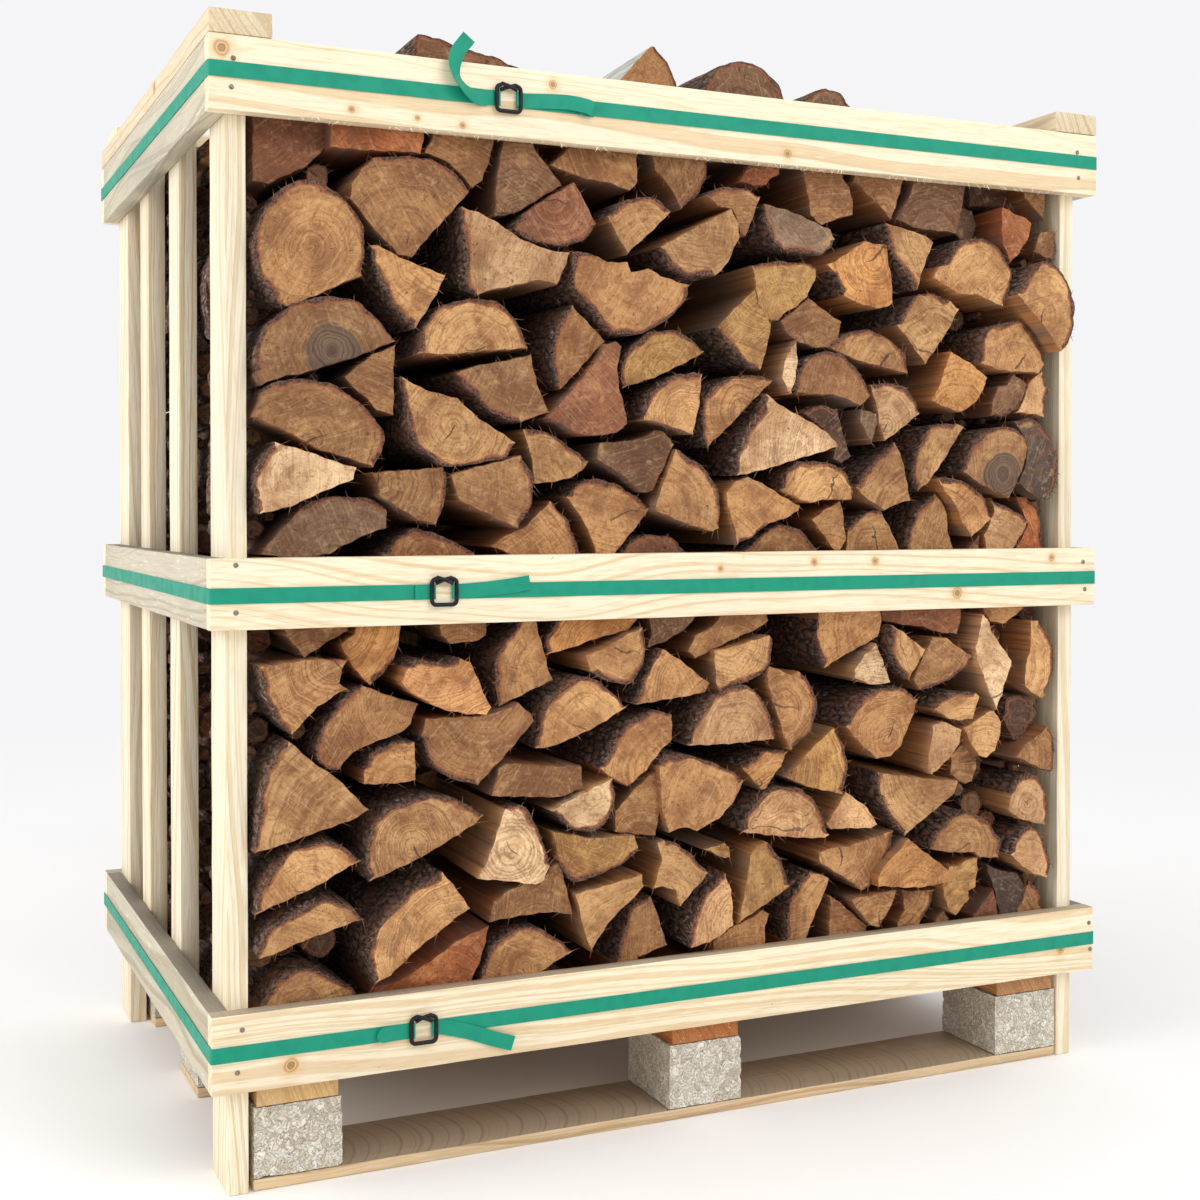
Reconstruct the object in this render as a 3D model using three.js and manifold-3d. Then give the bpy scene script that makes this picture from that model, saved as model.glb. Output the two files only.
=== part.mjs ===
// Split firewood stacked in a strapped pine crate that stands on its own block pallet.
// Millimetres, +Z up. The long open face, with the strap buckles, looks along -Y.
// The origin is under the middle of the whole object, on the ground.
import * as THREE from 'three';
import { mergeVertices } from 'three/addons/utils/BufferGeometryUtils.js';
import Module from 'manifold-3d';

const wasm = await Module();
wasm.setup();

// Crate: outer size over the rails, and the boards that it is nailed from
const crateWidth = 1124;
const crateDepth = 750;
const board = 20;
const seam = 0.3;
const postThickness = 22;
const postWidth = 78;
const slatWidth = 62;
const slatCentres = [309, 517];
const rails = {
  bottom: { low: 111, high: 192, strap: 152.5 },
  middle: { low: 580, high: 653, strap: 615 },
  top: { low: 1102, high: 1178, strap: 1142.5 },
};
const runnerWidth = 65;
const runnerHeight = 25;
const cleatWidth = 78;
const cleatInset = 8;

// Pallet: three bottom boards, nine chip blocks, three stringers and a deck
const bottomBoard = 12.5;
const blockWidth = 94;
const blockDepth = 111;
const blockHeight = 74;
const blockLefts = [47, 526, 986];
const blockSetBack = board + 2;
const stringerWidth = 87;
const stringerInset = 3;
const stringerHeight = 22;
const deckBoard = 16;
const deckBoardWidth = 118;
const deckBoards = 5;

// Strapping: a flat band round each ring of rails, closed by a bent wire buckle
const strapWidth = 16;
const strapThickness = 0.8;
const leanAbove = 5;
const buckleSize = 32;
const buckleWire = 4.2;
const buckleCorner = 7;
const buckleLift = 1.2;

// Firewood: three rows of short logs, one behind another, heaped above the top rail
const logLength = 240;
const tipSetBack = 3;
const sideClearance = 2;
const heapTop = 1165;

const railTop = rails.top.high;
const palletTop = bottomBoard + blockHeight + stringerHeight + deckBoard;
const left = -crateWidth / 2;
const right = crateWidth / 2;
const front = -crateDepth / 2;
const back = crateDepth / 2;

const pine = new THREE.MeshStandardMaterial({ color: 0xe6d3a8, roughness: 0.75, metalness: 0 });
const palletPine = new THREE.MeshStandardMaterial({ color: 0xc79a63, roughness: 0.8, metalness: 0 });
const chipboard = new THREE.MeshStandardMaterial({ color: 0xbcae98, roughness: 0.9, metalness: 0 });
const firewood = new THREE.MeshStandardMaterial({ color: 0x9a6a45, roughness: 0.9, metalness: 0 });
const strapping = new THREE.MeshStandardMaterial({ color: 0x1f9e7c, roughness: 0.45, metalness: 0 });
const wire = new THREE.MeshStandardMaterial({ color: 0x23242a, roughness: 0.45, metalness: 0.6 });

const crate = new THREE.Group();

function place(name, geometry, material, position = [0, 0, 0], turn = 0) {
  const mesh = new THREE.Mesh(geometry, material);
  mesh.name = name;
  mesh.position.set(...position);
  mesh.rotation.z = turn;
  crate.add(mesh);
  return mesh;
}

// A squared timber between two corners
function timber(name, low, high, material) {
  const size = high.map((value, axis) => value - low[axis]);
  const centre = high.map((value, axis) => (value + low[axis]) / 2);
  place(name, new THREE.BoxGeometry(...size), material, centre);
}

// A flat outline in X and Z, given a thickness that runs back along Y from the plane y
function slab(shape, y, thickness) {
  const settings = { depth: thickness, bevelEnabled: false, curveSegments: 10 };
  const geometry = new THREE.ExtrudeGeometry(shape, settings);
  geometry.rotateX(Math.PI / 2);
  geometry.translate(0, y + thickness, 0);
  return geometry;
}

function solid(geometry) {
  const bare = geometry.clone();
  bare.deleteAttribute('normal');
  bare.deleteAttribute('uv');
  const merged = mergeVertices(bare, 1e-4);
  const vertProperties = new Float32Array(merged.attributes.position.array);
  const triVerts = new Uint32Array(merged.index.array);
  return new wasm.Manifold(new wasm.Mesh({ numProp: 3, vertProperties, triVerts }));
}

function surface(manifold) {
  const mesh = manifold.getMesh();
  const geometry = new THREE.BufferGeometry();
  geometry.setAttribute('position', new THREE.BufferAttribute(new Float32Array(mesh.vertProperties), 3));
  geometry.setIndex(new THREE.BufferAttribute(new Uint32Array(mesh.triVerts), 1));
  return geometry;
}

function boxBetween(low, high) {
  const geometry = new THREE.BoxGeometry(high[0] - low[0], high[1] - low[1], high[2] - low[2]);
  geometry.translate((low[0] + high[0]) / 2, (low[1] + high[1]) / 2, (low[2] + high[2]) / 2);
  return geometry;
}

// Four posts stand on the ground in the corners, with two slats between them on each side
function addPostsAndSlats() {
  const postHeight = railTop - seam;
  const slatFoot = rails.bottom.low;
  for (const [side, face] of [['left', left + board], ['right', right - board - postThickness]]) {
    const x = [face + (side === 'left' ? seam : 0), face + postThickness - (side === 'right' ? seam : 0)];
    const ends = { front: front + board + seam, rear: back - board - seam - postWidth };
    for (const [end, y] of Object.entries(ends)) {
      timber(`post_${end}_${side}`, [x[0], y, 0], [x[1], y + postWidth, postHeight], pine);
    }
    slatCentres.forEach((centre, index) => {
      const y = front + centre - slatWidth / 2;
      const name = `slat_${side}_${index === 0 ? 'front' : 'rear'}`;
      timber(name, [x[0], y, slatFoot], [x[1], y + slatWidth, postHeight], pine);
    });
  }
}

// Each ring of rails: front and back boards lap over the ends of the side boards
function addRails() {
  for (const [level, { low, high }] of Object.entries(rails)) {
    timber(`rail_front_${level}`, [left, front, low], [right, front + board, high], pine);
    timber(`rail_back_${level}`, [left, back - board, low], [right, back, high], pine);
    const inner = [front + board + seam, back - board - seam];
    timber(`rail_left_${level}`, [left, inner[0], low], [left + board, inner[1], high], pine);
    timber(`rail_right_${level}`, [right - board, inner[0], low], [right, inner[1], high], pine);
  }
}

// Two flat runners lie on the side rails and carry a cleat across the back
function addRunners() {
  const low = railTop + seam;
  const high = low + runnerHeight;
  timber('runner_left', [left, front, low], [left + runnerWidth, back, high], pine);
  timber('runner_right', [right - runnerWidth, front, low], [right, back, high], pine);
  const y = back - cleatInset - cleatWidth;
  const ends = [left + cleatInset, right - cleatInset];
  timber('cleat_rear', [ends[0], y, high + seam], [ends[1], y + cleatWidth, high + seam + board], pine);
}

// The pallet: boards on the ground, blocks, stringers front to back, then the deck
function addPallet() {
  const lines = ['front', 'middle', 'rear'];
  const firstY = front + blockSetBack;
  const stepY = (crateDepth - 2 * blockSetBack - blockDepth) / 2;
  const ends = [left + blockLefts[0], left + blockLefts[2] + blockWidth];
  const blockLow = bottomBoard + seam;
  const blockHigh = bottomBoard + blockHeight;
  lines.forEach((line, row) => {
    const y = firstY + row * stepY;
    timber(`bottom_board_${line}`, [ends[0], y, 0], [ends[1], y + blockDepth, bottomBoard], palletPine);
    ['left', 'centre', 'right'].forEach((side, column) => {
      const x = left + blockLefts[column];
      const far = [x + blockWidth, y + blockDepth, blockHigh];
      timber(`block_${line}_${side}`, [x, y, blockLow], far, chipboard);
    });
  });
  const stringerLow = blockHigh + seam;
  const stringerHigh = blockHigh + stringerHeight;
  ['left', 'centre', 'right'].forEach((side, column) => {
    const x = left + blockLefts[column] + stringerInset;
    const y = [front + blockSetBack, back - blockSetBack];
    timber(`stringer_${side}`, [x, y[0], stringerLow], [x + stringerWidth, y[1], stringerHigh], palletPine);
  });
  const deckLow = stringerHigh + seam;
  const deckStep = (crateDepth - 2 * blockSetBack - deckBoardWidth) / (deckBoards - 1);
  for (let index = 0; index < deckBoards; index += 1) {
    const y = firstY + index * deckStep;
    const far = [ends[1], y + deckBoardWidth, palletTop];
    timber(`deck_board_${index + 1}`, [ends[0], y, deckLow], far, palletPine);
  }
}

// A strip of strapping in the plane of the front: its middle line, offset both ways
function stripShape(line) {
  const curve = new THREE.SplineCurve(line.map(([x, z]) => new THREE.Vector2(x, z)));
  const steps = 4 * (line.length - 1);
  const upper = [];
  const lower = [];
  for (let step = 0; step <= steps; step += 1) {
    const point = curve.getPoint(step / steps);
    const along = curve.getTangent(step / steps);
    const across = new THREE.Vector2(-along.y, along.x).multiplyScalar(strapWidth / 2);
    upper.push(point.clone().add(across));
    lower.unshift(point.clone().sub(across));
  }
  return new THREE.Shape([...upper, ...lower]);
}

// Where each buckle sits from the left end, and how its two loose tails run from it.
// Tails are points [x, z] from the buckle's middle. Lean tips a tail away from the rail, in
// degrees, about a line that lies leanAbove millimetres below the strap's middle.
const strapEnds = {
  top: {
    buckle: 319,
    tails: [
      { line: [[-20, 0], [-34, -1], [-54, 9], [-66, 27], [-63, 48], [-43, 65]], lean: 12 },
      { line: [[20, 0], [45, 1], [98, 0]], lean: 0 },
    ],
  },
  middle: {
    buckle: 245.5,
    tails: [
      { line: [[-20, 0], [-24, 0], [-31, 0]], lean: 0 },
      { line: [[20, 0], [50, 2], [98, 8]], lean: 0 },
    ],
  },
  bottom: {
    buckle: 222,
    tails: [
      { line: [[-20, 0], [-32, 0], [-50, 0]], lean: 0 },
      { line: [[20, 0], [50, -9], [78, -20], [103, -28]], lean: 0 },
    ],
  },
};

// A solid box that stands out from the rails by a reach and spans two heights
function hoop(reach, z) {
  return solid(boxBetween([left - reach, front - reach, z[0]], [right + reach, back + reach, z[1]]));
}

function addStraps() {
  const inside = seam;
  const outside = seam + strapThickness;
  for (const [level, { buckle, tails }] of Object.entries(strapEnds)) {
    const centre = rails[level].strap;
    const z = [centre - strapWidth / 2, centre + strapWidth / 2];
    const past = [z[0] - 1, z[1] + 1];
    const middle = left + buckle;
    const reach = buckleSize / 2 + seam;
    const gap = boxBetween([middle - reach, front - 2, past[0]], [middle + reach, front + 1, past[1]]);
    let band = hoop(outside, z).subtract(hoop(inside, past)).subtract(solid(gap));
    for (const { line, lean } of tails) {
      const tail = slab(stripShape(line), -strapThickness, strapThickness + inside / 2);
      tail.translate(0, 0, leanAbove);
      tail.rotateX(THREE.MathUtils.degToRad(lean));
      tail.translate(middle, front - outside, centre - leanAbove);
      band = band.add(solid(tail));
    }
    place(`strap_${level}`, surface(band), strapping);
    addBuckle(level, middle, centre);
  }
}

function roundedSquare(size, radius) {
  const half = size / 2;
  const shape = new THREE.Shape();
  shape.moveTo(-half + radius, -half);
  shape.lineTo(half - radius, -half);
  shape.absarc(half - radius, -half + radius, radius, -Math.PI / 2, 0, false);
  shape.lineTo(half, half - radius);
  shape.absarc(half - radius, half - radius, radius, 0, Math.PI / 2, false);
  shape.lineTo(-half + radius, half);
  shape.absarc(-half + radius, half - radius, radius, Math.PI / 2, Math.PI, false);
  shape.lineTo(-half, -half + radius);
  shape.absarc(-half + radius, -half + radius, radius, Math.PI, 1.5 * Math.PI, false);
  return shape;
}

function addBuckle(level, x, z) {
  const shape = roundedSquare(buckleSize, buckleCorner);
  const windowSize = buckleSize - 2 * buckleWire;
  shape.holes.push(roundedSquare(windowSize, buckleCorner - buckleWire));
  const depth = buckleWire;
  place(`buckle_${level}`, slab(shape, -depth - buckleLift, depth), wire, [x, front, z]);
}

// Each row of stacked logs as one body out to its log ends, cut back round the rails
function addLogRows() {
  const x = [left + board + postThickness + sideClearance, right - board - postThickness - sideClearance];
  const step = (crateDepth - 2 * tipSetBack - logLength) / 2;
  ['front', 'middle', 'rear'].forEach((row, index) => {
    const y = front + tipSetBack + index * step;
    const stack = boxBetween([x[0], y, palletTop + seam], [x[1], y + logLength, heapTop]);
    let body = solid(stack);
    for (const { low, high } of Object.values(rails)) {
      const z = [low - seam, high + seam];
      const frontRail = boxBetween([left, front - 1, z[0]], [right, front + board + seam, z[1]]);
      const backRail = boxBetween([left, back - board - seam, z[0]], [right, back + 1, z[1]]);
      body = body.subtract(solid(frontRail)).subtract(solid(backRail));
    }
    place(`log_row_${row}`, surface(body), firewood);
  });
}

// Logs that lie loose on the heap: a half round with its bark up, or a three-sided split
const looseLogs = [
  { x: 282, y: -228, width: 150, height: 54, kind: 'half', turn: 3 },
  { x: 496, y: -230, width: 104, height: 72, kind: 'split', turn: -4 },
  { x: 626, y: -226, width: 122, height: 64, kind: 'half', turn: 1 },
  { x: 737, y: -229, width: 84, height: 42, kind: 'half', turn: 1 },
  { x: 418, y: 42, width: 140, height: 60, kind: 'half', turn: 8 },
  { x: 800, y: 30, width: 120, height: 66, kind: 'split', turn: -7 },
  { x: 592, y: 163, width: 132, height: 56, kind: 'half', turn: -5 },
];

function looseLogShape(kind, width, height) {
  const shape = new THREE.Shape();
  const half = width / 2;
  if (kind === 'split') {
    shape.moveTo(-half, 0);
    shape.lineTo(half, 0);
    shape.lineTo(0.18 * width, height);
    return shape;
  }
  const radius = (half * half + height * height) / (2 * height);
  const reach = Math.atan2(half, radius - height);
  shape.moveTo(-half, 0);
  shape.lineTo(half, 0);
  shape.absarc(0, height - radius, radius, Math.PI / 2 - reach, Math.PI / 2 + reach, false);
  return shape;
}

function addLooseLogs() {
  looseLogs.forEach(({ x, y, width, height, kind, turn }, index) => {
    const geometry = slab(looseLogShape(kind, width, height), -logLength / 2, logLength);
    const position = [left + x, y, heapTop + seam];
    place(`loose_log_${index + 1}`, geometry, firewood, position, THREE.MathUtils.degToRad(turn));
  });
}

addPostsAndSlats();
addRails();
addRunners();
addPallet();
addStraps();
addLogRows();
addLooseLogs();

// The origin is moved under the middle of everything, buckles and loose tails included
const extent = new THREE.Box3().setFromObject(crate, true);
const middle = extent.getCenter(new THREE.Vector3());
crate.position.set(-middle.x, -middle.y, -extent.min.z);

export default crate;
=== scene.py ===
"""Split firewood in a strapped pine crate on a block pallet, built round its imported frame.

Sizes are in millimetres in the tables below and in metres everywhere in Blender. Heights are
above the ground. "Across" is measured from the crate's left end, and "deep" from the front
face of the front rails towards the back.
"""
from __future__ import annotations

import logging
import math
from dataclasses import dataclass, field
from enum import Enum
from typing import Callable

import bpy
import numpy as np
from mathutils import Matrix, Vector
from mathutils.geometry import tessellate_polygon


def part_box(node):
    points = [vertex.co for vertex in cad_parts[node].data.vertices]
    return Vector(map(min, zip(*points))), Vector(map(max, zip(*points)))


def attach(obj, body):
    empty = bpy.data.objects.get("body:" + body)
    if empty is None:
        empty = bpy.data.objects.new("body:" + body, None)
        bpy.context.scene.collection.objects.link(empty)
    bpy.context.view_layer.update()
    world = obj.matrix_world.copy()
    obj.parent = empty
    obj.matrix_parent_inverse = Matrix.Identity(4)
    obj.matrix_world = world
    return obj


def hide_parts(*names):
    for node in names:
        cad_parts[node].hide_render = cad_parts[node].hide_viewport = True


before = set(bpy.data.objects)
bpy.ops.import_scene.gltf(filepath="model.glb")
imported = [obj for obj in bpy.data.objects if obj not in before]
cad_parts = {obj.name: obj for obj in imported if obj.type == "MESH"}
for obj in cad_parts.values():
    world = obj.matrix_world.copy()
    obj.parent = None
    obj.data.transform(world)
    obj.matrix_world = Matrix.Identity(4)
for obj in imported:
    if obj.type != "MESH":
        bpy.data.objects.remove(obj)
log = logging.getLogger("firewood_crate")
MM = 0.001
BACKDROP_LIGHT = 0.93
Material = bpy.types.Material
Piece = bpy.types.Object
Socket = bpy.types.NodeSocket

# Split logs of the front row, as drawn on one plane: tone, set-back, then the outline as
# across,height corners. A ~ after a corner means bark from there to the next one, and @ gives
# the pith. A line with no set-back gets a small random one, and one that starts with a space
# goes on with the log above it.
UPPER_LOGS = """
t|160,945~ 164,965~ 163,990~ 157,1008~ 147,1020~ 130,1033~ 112,1041~ 97,1042~ 82,1036~ 68,1022~ 57,1003~
 47,985~ 45,965~ 50,945~ 60,925~ 72,911~ 82,908 118,925 @107,971
b|146,1024 148,1040 158,1056 172,1070~ 210,1076~ 250,1070~ 270,1058~ 281,1042 245,1003 214,967 199,969
 172,992 @208,982
t|168,978 178,979 200,969 225,960 251,951 245,935 235,918 218,893~ 205,903~ 190,920~ 178,942~ 170,962~
 @262,990
o|126,1075 150,1075 224,1077 228,1092 226,1115 126,1115
r 42|44,1115 124,1115 126,1078 100,1052 62,1032 45,1034
b|228,1079 236,1095 240,1115 312,1115 306,1092 302,1075 294,1055 282,1045 272,1056 258,1068 245,1074
p 4|270,1027 290,1022 312,1012 342,995 370,986 396,985 392,972 380,948 360,951 340,946 300,937 288,930~
 276,942~ 272,960~ 274,980~ 270,1005~ @420,960
w|306,1016 330,1022 352,1035 387,1057 372,1075 355,1095 352,1115 320,1115 314,1085 308,1050
r|402,1064 414,1043 428,1018~ 420,1004~ 397,992~ 360,990~ 330,1003~ 342,1025
b|371,1078 395,1100 400,1115 478,1115 479,1068 468,1057 445,1063 415,1066 398,1070 @520,1120
t|441,1028~ 462,1046~ 485,1054~ 505,1052~ 521,1038 495,1013 466,986 455,1005
b|492,1115 500,1084 517,1066 527,1052 533,1041~ 551,1056~ 564,1075~ 569,1097~ 569,1115
t|563,1060~ 580,1072~ 600,1074~ 620,1072~ 638,1065 628,1040 617,1017 609,1020 604,1035 598,1047 584,1047
l 4|598,1048 609,1033 610,1016 601,1000 594,984 578,968~ 556,966~ 535,967~ 520,977~ 511,988~ 506,998
 547,1022
o 24|607,1078 612,1088 620,1097 625,1115 662,1115 662,1092 652,1087 645,1078 632,1075
g|640,1058 670,1053 700,1045 733,1034 739,1022~ 733,1010~ 720,1003~ 700,1001~ 675,1002~ 660,1006~
 650,1018~ 641,1035~ @690,1060
b|690,1115 700,1070 704,1047 715,1040 721,1037 740,1045 764,1052 763,1070 758,1085 750,1095 745,1115
b|763,1092 768,1115 840,1115 830,1080 818,1050 812,1055 800,1065 785,1075 775,1085
w|824,1052 845,1085 850,1115 928,1115 925,1085 920,1065 914,1040 880,1041 850,1043
l|812,1047 838,1043 866,1036 879,1027 868,1003 860,985 854,967~ 838,984~ 822,1005~ 814,1025~
d 55|930,1115 1008,1115 1046,1066 1030,1062 985,1078 930,1074
b 23|1010,1115 1051,1115 1048,1066 1030,1080 1016,1092
o|982,1079 1000,1073 1018,1068 1027,1062 1024,1044 1010,1022 996,1008 990,1020 983,1035 980,1050
b 24|1030,1025 1036,1040 1042,1052 1066,1055~ 1067,1040~ 1063,1017 1045,1020
l 5|879,984 896,977 920,966 945,966 985,954~ 994,975~ 996,996~ 988,1013~ 975,1029~ 955,1036~ 932,1037~
 914,1029~ 905,1014~ 896,1001 888,999 @946,975
l -15|1007,971 1030,948 1052,929 1075,901~ 1088,912~ 1096,935~ 1097,962~ 1091,984~ 1080,1001~ 1066,1012~
 1052,1016~ 1036,1008~ 1022,995~ 1013,982~ @1045,948
y|622,984~ 645,990~ 662,994~ 685,992~ 700,993~ 713,985 714,976 701,951 688,940 668,930 661,921 645,922
 632,940 628,965 @665,935
y|578,911 598,930 617,947 634,964 641,950 640,934 652,917 648,898 642,878 636,863~ 618,868~ 602,882~
 588,896~ @640,960
b 14|663,922 680,935 701,951 725,937 747,925 742,905 732,893 712,891 690,897 675,905
O|728,992 740,998 755,1008 780,1023 795,1021 812,1021 814,1000 818,975 820,950 812,945 800,942 780,945
 760,950 750,955~ 742,970~ 735,985 @790,1000
l|825,924~ 838,946~ 853,961~ 868,966~ 890,963~ 905,958 918,948 903,924 886,900 868,878 848,900 @880,890
t|947,882~ 950,900~ 955,918~ 968,930~ 985,936~ 1000,940~ 1015,938~ 1030,925~ 1042,908~ 1048,895~ 1050,885
 1040,873 1000,873 975,875 @1002,878
O|904,897 934,884 963,866 956,848 943,833 920,820 896,826 875,834 888,858
w 12|976,856 990,858 1001,872 1012,866 1022,860 1016,840~ 1003,825~ 985,817~ 965,817 968,838
p 14|1022,860 1036,872 1045,876~ 1054,860~ 1052,840~ 1050,818 1035,821 1003,822 1016,840
t|732,892~ 740,905~ 760,914~ 785,917~ 805,913~ 825,903~ 840,885~ 842,866 815,870 775,878 752,884 @790,870
P 6|686,902 688,880 684,855 678,836 672,840 665,855 667,870 675,888
b|683,838~ 684,850~ 690,868~ 702,882~ 725,890~ 745,888~ 765,876~ 782,858~ 790,838 775,825 755,832 735,837
 700,837 @735,850
P 4|645,838 665,825 700,808 725,795 740,783 742,776 715,768 680,758 650,750 620,742 605,740~ 608,768~
 622,795~ 640,820~ @760,770
l|664,724~ 672,745~ 685,757~ 710,760~ 735,758~ 755,745~ 764,720~ 762,713 740,713 722,712 705,709 690,713
 @722,710
d 12|692,815~ 712,825~ 742,822 748,800 756,780 763,765 750,756 735,762 740,778 715,800
g|774,823 798,818 799,805 793,790 790,779 780,792 773,808
p|787,852~ 812,856~ 836,852~ 852,838~ 860,818 835,800 808,784 800,800 796,822
t|766,728~ 780,745~ 800,765~ 825,785 833,770 838,755 843,730 846,712 825,708 808,700 785,712
t|590,722 604,736 620,741 640,733 665,720 693,707 690,700 670,690 650,685~ 630,672~ 605,660 600,680
 592,705
b 23|615,655~ 635,672~ 655,683~ 680,683~ 700,672~ 715,655 715,610 615,610
t 14|706,690 722,702 745,712 750,702 752,685 756,665 742,648 725,668
t 22|756,676~ 768,691~ 786,701~ 803,702 816,682 833,648 833,612 752,612 754,650
l|926,804 915,808~ 895,809~ 874,802~ 861,783~ 852,760~ 850,740~ 857,724 872,733 898,766
s|925,748~ 930,770~ 942,788~ 958,800~ 975,806~ 995,806~ 1015,795~ 1022,780 1018,757 1008,735 996,716
 975,722 950,733 @985,745
D 12|1008,735 1020,760 1020,785 1010,800 1000,812~ 1030,817~ 1050,805~ 1064,785~ 1071,765~ 1070,735~
 1060,715 1045,713 1025,722
t|886,740~ 910,742~ 932,735~ 950,722~ 962,704~ 966,690 952,678 938,667 922,686 914,706 896,724
l 22|838,650~ 845,678~ 857,700~ 870,714~ 882,722 892,712 901,697 903,672 911,650 911,612 838,612
p 22|968,716~ 990,708~ 1010,698~ 1027,688 1015,670 1000,650 1000,612 958,612 958,650 955,670 965,685
 972,700
o 34|1003,718 1020,718~ 1035,705~ 1045,690~ 1048,670~ 1052,650 1052,612 1005,612 1005,655 1022,682
r 24|930,652 948,672 949,650 949,612 930,612
s|47,838~ 46,860~ 58,888~ 80,908~ 105,921~ 130,924~ 152,920~ 175,906~ 190,890~ 199,879 150,859 97,841
 80,838 55,828 @128,866
b 16|197,876 195,850 196,820 194,801 175,805 160,820 148,828 140,840 170,865
t 5|46,796 56,822~ 68,834~ 95,838~ 125,833~ 152,820~ 172,802~ 184,780~ 183,762~ 172,745 138,757 110,764
 80,781 @107,775
l|203,842 230,830 265,821 290,801 332,775~ 322,760~ 300,752~ 260,746~ 240,752~ 220,768~ 208,785~ 206,805~
 204,825~ @262,792
P 6|68,772 100,763 125,755 154,746 150,733 120,720 85,705 52,696~ 48,705~ 48,735~ 54,755~ @90,735
W 10|50,656 90,700~ 105,712~ 130,718~ 165,714~ 182,708~ 187,700 186,682 165,675 135,662 125,655 90,650
b|170,741 200,744 248,748~ 254,735~ 252,710~ 248,700~ 240,686 220,690 195,705 178,716 176,730
b 22|182,655~ 195,670~ 215,682~ 240,678~ 265,668~ 285,655 285,612 182,612 @232,640
l|218,866~ 222,885~ 232,905~ 248,920~ 270,928~ 295,930~ 320,922~ 338,903~ 346,885~ 347,877 318,874
 300,872 270,868 245,866 @285,872
s 12|262,848 280,855 300,860 350,871 352,862 358,840 371,808 350,801 338,795~ 318,800~ 300,806~ 285,822~
 270,835~
b|398,928 440,889 384,832~ 376,850~ 373,872~ 377,897~ 386,915~
r 6|437,886 452,890 460,884 455,862 457,838 463,815 467,797 452,786 425,783 403,784 384,795 367,802
 400,838 423,862 @400,890
t 4|398,985~ 412,988~ 430,983 441,977 466,979 471,969 480,970 492,974 508,966 545,958~ 541,942~ 532,928~
 515,913~ 490,901~ 462,896~ 440,902~ 422,922~ 403,940~ 398,960~ @474,968
y|459,836~ 457,860~ 465,880~ 480,895~ 500,904~ 530,905~ 548,896~ 563,882 540,868 500,850 @510,862
l|484,803~ 490,825~ 505,843~ 530,856~ 563,858 557,820 549,786 520,795 @545,805
t|566,772~ 559,785~ 557,805~ 561,830~ 575,843~ 600,855~ 625,859~ 645,858~ 655,852 610,810 @612,815
w|427,757 430,777 470,780 485,783 500,792 512,792 520,783 526,776 520,768 515,755 505,735 498,722 490,720
 480,722 465,735 445,747
l|338,790~ 355,791~ 375,786~ 395,773~ 419,755 412,745 395,735 375,731 352,730 350,750 346,765
t|256,740 300,752 338,762~ 348,748~ 353,735~ 352,710~ 345,695~ 334,681 310,690 298,697 265,712 @262,725
t|390,716~ 405,732~ 425,738~ 445,734~ 465,725~ 485,712~ 496,704 480,685 466,670 448,648 428,648 423,665
 410,690 @445,690
t|525,772~ 545,762~ 560,755~ 572,742~ 583,722~ 586,705~ 584,680 575,675 540,685 520,692 497,700 505,722
 515,748 @510,700
t 22|373,712~ 385,700~ 395,690~ 402,675~ 408,660~ 411,645 345,645 320,655 300,662 320,675 340,682 355,697
r 23|455,650~ 470,668~ 490,675~ 505,674~ 525,668~ 545,650 545,610 455,610
"""

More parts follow.
